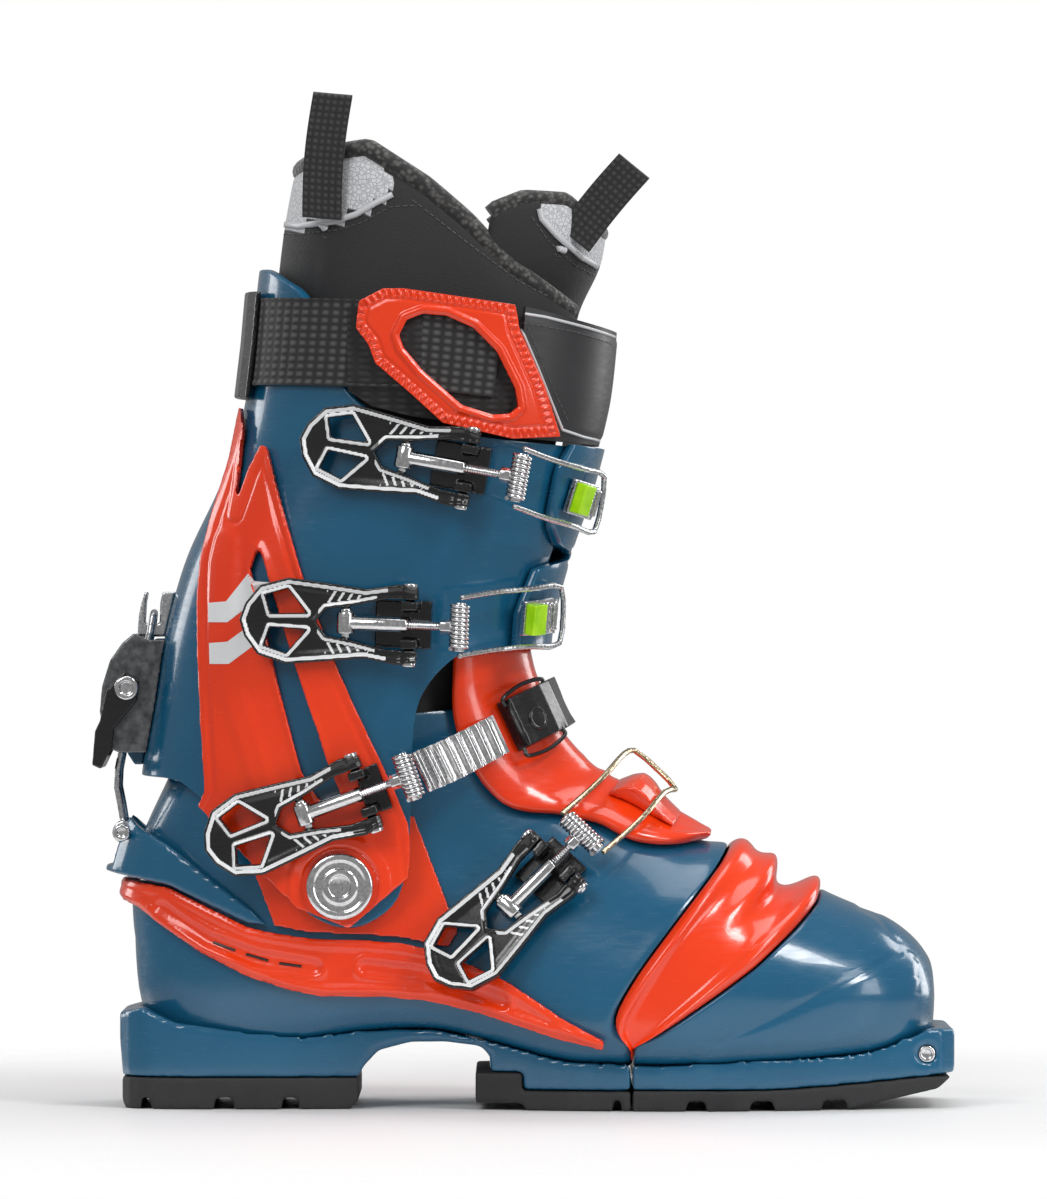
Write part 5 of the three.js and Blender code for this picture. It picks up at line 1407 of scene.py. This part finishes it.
bandTree = treeOf(band, panel)
cuffOuterTree = BVHTree.FromPolygons(cuffSkin.verts, cuffSkin.faces)
hookPad = patch("hookPad", [(35.5, 289.5), (35.5, 259), (44, 253.5), (58, 250), (84, 246.5), (104, 245),
                            (97, 270), (92, 289)],
                cuffOuterTree, 0.45, 0.75)
for v in hookPad.data.vertices:
    spot, normal, height = cuffSkin.nearest(v.co)
    if design(v.co).z > 258 and design(v.co).x < 62:
        v.co += normal * 1.3 * smooth(258, 262, design(v.co).z) * mm
padCloth = webbingMaterial("padCloth", (0.022, 0.022, 0.024), (0.004, 0.004, 0.004), 0.0032, 0.0012)
finishPiece(hookPad, "cuff", "webbing", padCloth)


# points along a side-view line, lifted off the face


def sidePath(tree, line, lift, spacing=1.2, side=-1):
    out = []
    for (x0, z0), (x1, z1) in zip(line, line[1:]):
        count = max(1, round(math.hypot(x1 - x0, z1 - z0) / spacing))
        for k in range(count):
            hit, normal = castSide(tree, mix(x0, x1, k / count), mix(z0, z1, k / count), side)
            out.append(hit + normal * lift * mm)
    hit, normal = castSide(tree, *line[-1], side)
    out.append(hit + normal * lift * mm)
    return out


trims = [tube("panelTrim", sidePath(bandTree, line, 0.1), 0.55, 2) for line in (
    [(94, 287.5), (106, 285.8), (120, 282.6), (131, 279.8)], [(95.5, 285.5), (103, 268), (112, 245.5)],
    [(112, 245.5), (120, 243), (127, 241.8)])]
finishPiece(joinAll("panelTrims", trims), "cuff", "webbing", paleTrim)


def stitches(name, tree, line, pitch=2.6, share=0.62, radius=0.22, lift=0.12, side=-1):
    path = sidePath(tree, line, lift, 0.4, side)
    length = arcs(path)
    pieces, at = [], 0.0
    while at + pitch * share < length[-1] / mm:
        ends = []
        for target in (at, at + pitch * share / 2, at + pitch * share):
            i = next(k for k, run in enumerate(length) if run / mm >= target)
            ends.append(path[i])
        pieces.append(tube(name, ends, radius, 1))
        at += pitch
    return joinAll(name, pieces)


thread = mouldedPlastic("stitchThread", (0.11, 0.11, 0.115), (0.05, 0.05, 0.052), 0.6, 0.0)
finishPiece(joinAll("panelStitching", [
    stitches("panelStitch", bandTree, [(98, 283.6), (116, 280.8), (130, 277)]),
    stitches("panelStitch", bandTree, [(99.5, 282), (107, 264), (114.5, 247.5)])]), "cuff", "webbing", thread)
print("strap made")

# Liner
linerLook = dict(gap=2.2, wall=5.0, fold=3.6, columns=88, shellWall=4.0, cuffWall=4.0, swell=1.1)
collar = straight([(0, 340), (12, 345), (30, 347), (56, 333.4), (76, 320.3), (97, 304), (112, 296),
                   (128, 287)])
rearPanel = [(2, 325), (9, 321.5), (17, 319.5), (30, 320.5), (38, 323), (45, 327), (51.5, 330), (52, 338),
             (30, 352), (2, 350)]
frontPanel = [(103.7, 325), (104.5, 321.5), (110, 315.5), (119, 308.2), (127, 304.5), (134, 302),
              (140, 318), (125, 335), (104, 332)]


def markPanel(piece, outline):
    values = [1.0 if inside(design(v.co).x, design(v.co).z, outline) else 0.0 for v in piece.data.vertices]
    piece.data.attributes.new("panel", "FLOAT", "POINT").data.foreach_set("value", values)


def linerRows(depth):
    look = linerLook
    rows = []
    shares = steps(0, 1, look["columns"])
    sections = [0.9, 1.6, 2.6, 3.8, 4.8, 5.8, 6.8, 7.6, 8.6, 9.8, 11, 12, 12.8, 13.8, 15, 16.4, 17.8]
    for s in sections:
        gap = 0.5 * smooth(7.4, 12, s)
        row = []
        for u in shares:
            a = gap + (2 * math.pi - 2 * gap) * u
            turn = min(a, 2 * math.pi - a)
            fold = (look["fold"] * smooth(2.6, 4.2, s) * (1 - smooth(7.2, 8.8, s))
                    * max(0, math.cos(turn / 1.5)))
            drop = 3.6 * max(0, -math.cos(a)) ** 0.7 * (1 - smooth(11, 14, s))
            row.append(footPoint(s, a, -look["shellWall"] - look["gap"] - fold - drop - depth))
        rows.append(row)
    high = [(180, 200), (195, 208), (210, 216), (228, 226), (245, 236), (265, 249), (285, 262), (302, 269),
            (318, 276)]
    bands = high + [None, None, None]
    for i, pair in enumerate(bands):
        row = []
        for u in shares:
            a = 0.5 + (2 * math.pi - 1) * u
            swell = 0.0
            if pair:
                rear, front = pair
                z = mix(front, rear, (1 - math.cos(a)) / 2)
                if z > cuffTop(design(cuffPoint(a, z)).x) + 3:
                    swell = look["swell"]
            else:
                share = (0.35, 0.7, 1.0)[i - len(high)]
                z = mix(mix(276, 318, (1 - math.cos(a)) / 2), collar(design(cuffPoint(a, 300)).x), share)
                swell = look["swell"] * (1 - share) * 1.6
            row.append(cuffPoint(a, z, -look["cuffWall"] - look["gap"] - 1 - depth
                                 + (swell if depth == 0 else -swell)))
        rows.append(row)
    return rows


def linerTip(depth):
    return place(243.2 - 4 - depth, 4.5, 40)


liner = wall("liner", linerRows(0), linerRows(linerLook["wall"]), wraps=True, openFrom=6,
             cap=(linerTip(0), linerTip(linerLook["wall"])))
subdivide(liner, 1)
markPanel(liner, rearPanel)
smoothShade(liner, 70)
standFor(liner, "liner", linerMaterial, blended=True)
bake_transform(liner, "shell", "cuff", start=place(30, 0, 88), end=place(24, 0, 150))

# tape folded over the collar edge
rimRow = [cuffPoint(a, collar(design(cuffPoint(a, 300)).x), -7.2 - linerLook["wall"] / 2)
          for a in steps(0.5, 2 * math.pi - 0.5, 150)]


def edgeTape(name, path, radius, tall):
    sides, rows = 14, []
    for i, p in enumerate(path):
        way = (path[min(i + 1, len(path) - 1)] - path[max(i - 1, 0)]).normalized()
        centre = place(55, 0, design(p).z)
        out = (p - centre)
        out.z = 0
        out.normalize()
        out = (out - way * out.dot(way)).normalized()
        up = way.cross(out)
        if up.z < 0:
            up = -up
        rows.append([p + (out * radius * math.cos(2 * math.pi * k / sides) + up * tall
                          * math.sin(2 * math.pi * k / sides)) * mm
                     for k in range(sides + 1)])
    down = arcs([row[0] for row in rows])
    verts = [p for row in rows for p in row]
    uv = [(2 * radius * math.pi * k / sides * mm, down[i]) for i in range(len(rows))
          for k in range(sides + 1)]
    wide = sides + 1
    faces = [(i * wide + k, i * wide + k + 1, (i + 1) * wide + k + 1, (i + 1) * wide + k)
             for i in range(len(rows) - 1) for k in range(sides)]
    faces += [tuple(range(sides))[::-1], tuple((len(rows) - 1) * wide + k for k in range(sides))]
    piece = newPiece(name, verts, faces, uv)
    tidyShell(piece)
    smoothShade(piece, 60)
    return piece


tape = edgeTape("collarTape", rimRow, 3.3, 3.6)
finishPiece(tape, "cuff", "liner_fabric", bindingMaterial)

tongueDepth = through([(190, 9.4), (272, 9.4), (290, 7.5), (305, 2.5), (320, 0.6), (335, 0.6)])
tongueHigh = straight([(70, 316), (82, 318), (90, 325), (101, 329), (118, 328.5), (134, 318)])


def linerTongue():
    def layer(extra):
        rows = []
        for v in steps(0, 1, 34):
            row = []
            for t0 in steps(-0.95, 0.95, 40):
                t = t0 * (1 + 0.42 * smooth(0.6, 0.9, v))
                z = mix(190, tongueHigh(design(cuffPoint(t, 320)).x), v)
                swell = 0.9 * smooth(0.55, 0.8, v) * (1 - smooth(0.9, 1, v)) * (1 - abs(t0 / 0.95) ** 4)
                row.append(cuffPoint(t, z, -linerLook["cuffWall"] - linerLook["wall"] - tongueDepth(z) + 3.2
                                     + (swell if not extra else -extra - swell)))
            rows.append(row)
        return rows
    piece = wall("linerTongue", layer(0), layer(4.5))
    subdivide(piece, 1)
    markPanel(piece, frontPanel)
    smoothShade(piece, 70)
    standFor(piece, "liner_tongue", linerMaterial)
    rim = []
    for t in steps(-0.95 * 1.42, 0.95 * 1.42, 80):
        z = tongueHigh(design(cuffPoint(t, 320)).x)
        rim.append(cuffPoint(t, z, -linerLook["cuffWall"] - linerLook["wall"] - tongueDepth(z) + 3.2 - 2.25))
    finishPiece(edgeTape("tongueTape", rim, 2.9, 3.0), "cuff", "liner_fabric", bindingMaterial)
    return piece


tongueSoft = linerTongue()
linerTree, tongueTree = treeOf(liner), treeOf(tongueSoft)
piping = []
for side in (-1, 1):
    piping.append(tube("piping", sidePath(linerTree, [(5, 323), (9, 321.5), (17, 319.5), (30, 320.5),
                                                      (38, 323), (45, 327), (51, 330)], 0.4, 1.2, side),
                                                      1.15, 4))
    piping.append(tube("piping", sidePath(tongueTree, [(103.7, 325), (104.5, 321.5), (110, 315.5),
                                                       (119, 308.2), (127, 304.5), (132.5, 302.5)], 0.4,
                                                       1.2, side), 1.15, 4))
finishPiece(joinAll("linerPiping", piping), "cuff", "liner_fabric", paleTrim)
seams = [stitches("seam", linerTree, [(6, 318), (17, 316.5), (31, 317.5), (40, 320), (50, 325.5), (60, 326)]),
         stitches("seam", linerTree, [(58, 328), (74, 315.5), (96, 299), (110, 292)]),
         stitches("seam", tongueTree, [(101, 322), (107, 313.5), (117, 305), (130, 299.5)])]
finishPiece(joinAll("linerStitching", seams), "cuff", "liner_fabric", thread)
print("liner made")

# Pull loops
def pullLoop(node, name, base, tip, lean):
    low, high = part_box(node)
    y = design((low + high) / 2).y
    heading = Vector((tip[0] - base[0], 0, tip[1] - base[1]))
    length = heading.length
    heading.normalize()
    edge = Vector((-heading.z, 0, heading.x))
    wide, thick = 7.1, 0.55
    rows = {0: [], 1: []}
    path = []
    reach, bend = length - 1.4, 1.0
    for u in steps(0, 1, 26):
        path.append((u * reach, -bend, -1.0, 0.0))
    for k in range(1, 8):
        a = math.pi * k / 8
        path.append((reach + bend * math.sin(a), -bend * math.cos(a), -math.cos(a), math.sin(a)))
    for u in steps(1, 0, 26):
        path.append((u * reach, bend, 1.0, 0.0))
    for along, across, ny, nx in path:
        bow = lean * math.sin(math.pi * along / length)
        for layer, lift in ((0, thick), (1, -thick)):
            row = []
            for v in steps(-1, 1, 12):
                centre = (Vector((base[0], y, base[1])) + heading * (along + nx * lift)
                          + edge * (v * wide + bow))
                centre.y += across + ny * lift + 0.25 * math.cos(v * 3.0)
                row.append(place(*centre))
            rows[layer].append(row)
    piece = wall(name, rows[0], rows[1])
    smoothShade(piece, 60)
    return standFor(piece, node, loopWeave)


pullLoop("rear_pull_loop", "rearPullLoop", (25.4, 321.5), (29.4, 366.5), 1.2)
pullLoop("front_pull_loop", "frontPullLoop", (116.3, 314.2), (138.1, 340.9), 0.6)
print("loops made")

# Printed marks: plain bars and chevrons
overlayTree = treeOf(bpy.data.objects["cuffOverlay_lateral"])
bars = [patch("overlayMark", outline, overlayTree, 0.05, 0.2, spacing=1.2) for outline in (
    [(-15.5, 176), (-8.5, 176), (4.5, 186), (-1, 193.5), (-9, 183.5), (-15.5, 183)],
    [(-15, 161), (-8, 161), (5.5, 171), (4.5, 178.5), (-8.5, 169), (-15.2, 168.5)])]
finishPiece(joinAll("overlayMarks", bars), "cuff", "orange", whitePrint)
beamTree = treeOf(bpy.data.objects["sideBeam"])
dashes = [tube("beamDash", sidePath(beamTree, line, 0.05, 0.8), 0.5, 2) for line in (
    [(-14, 60.4), (-6, 57.5)], [(-2, 56.2), (6, 53.9)], [(10, 53), (18, 51.9)])]
finishPiece(joinAll("beamDashes", dashes), "shell", "orange", blackGloss)
print("marks made")

materialOf = {"petrol": petrol, "orange": orange, "black_plastic": blackGloss, "steel": steel, "lime": lime,
              "grey_metal": castGrey, "sole_rubber": rubberBlack, "webbing": loopWeave,
              "liner_fabric": linerMaterial}
for node in sorted(frame["nodes"]):
    if node in done:
        continue
    piece = frame["nodes"][node]
    piece.data.materials.clear()
    piece.data.materials.append(materialOf[nodeSlot[node]])
print("kept CAD nodes:", [n for n in sorted(frame["nodes"]) if n not in done])
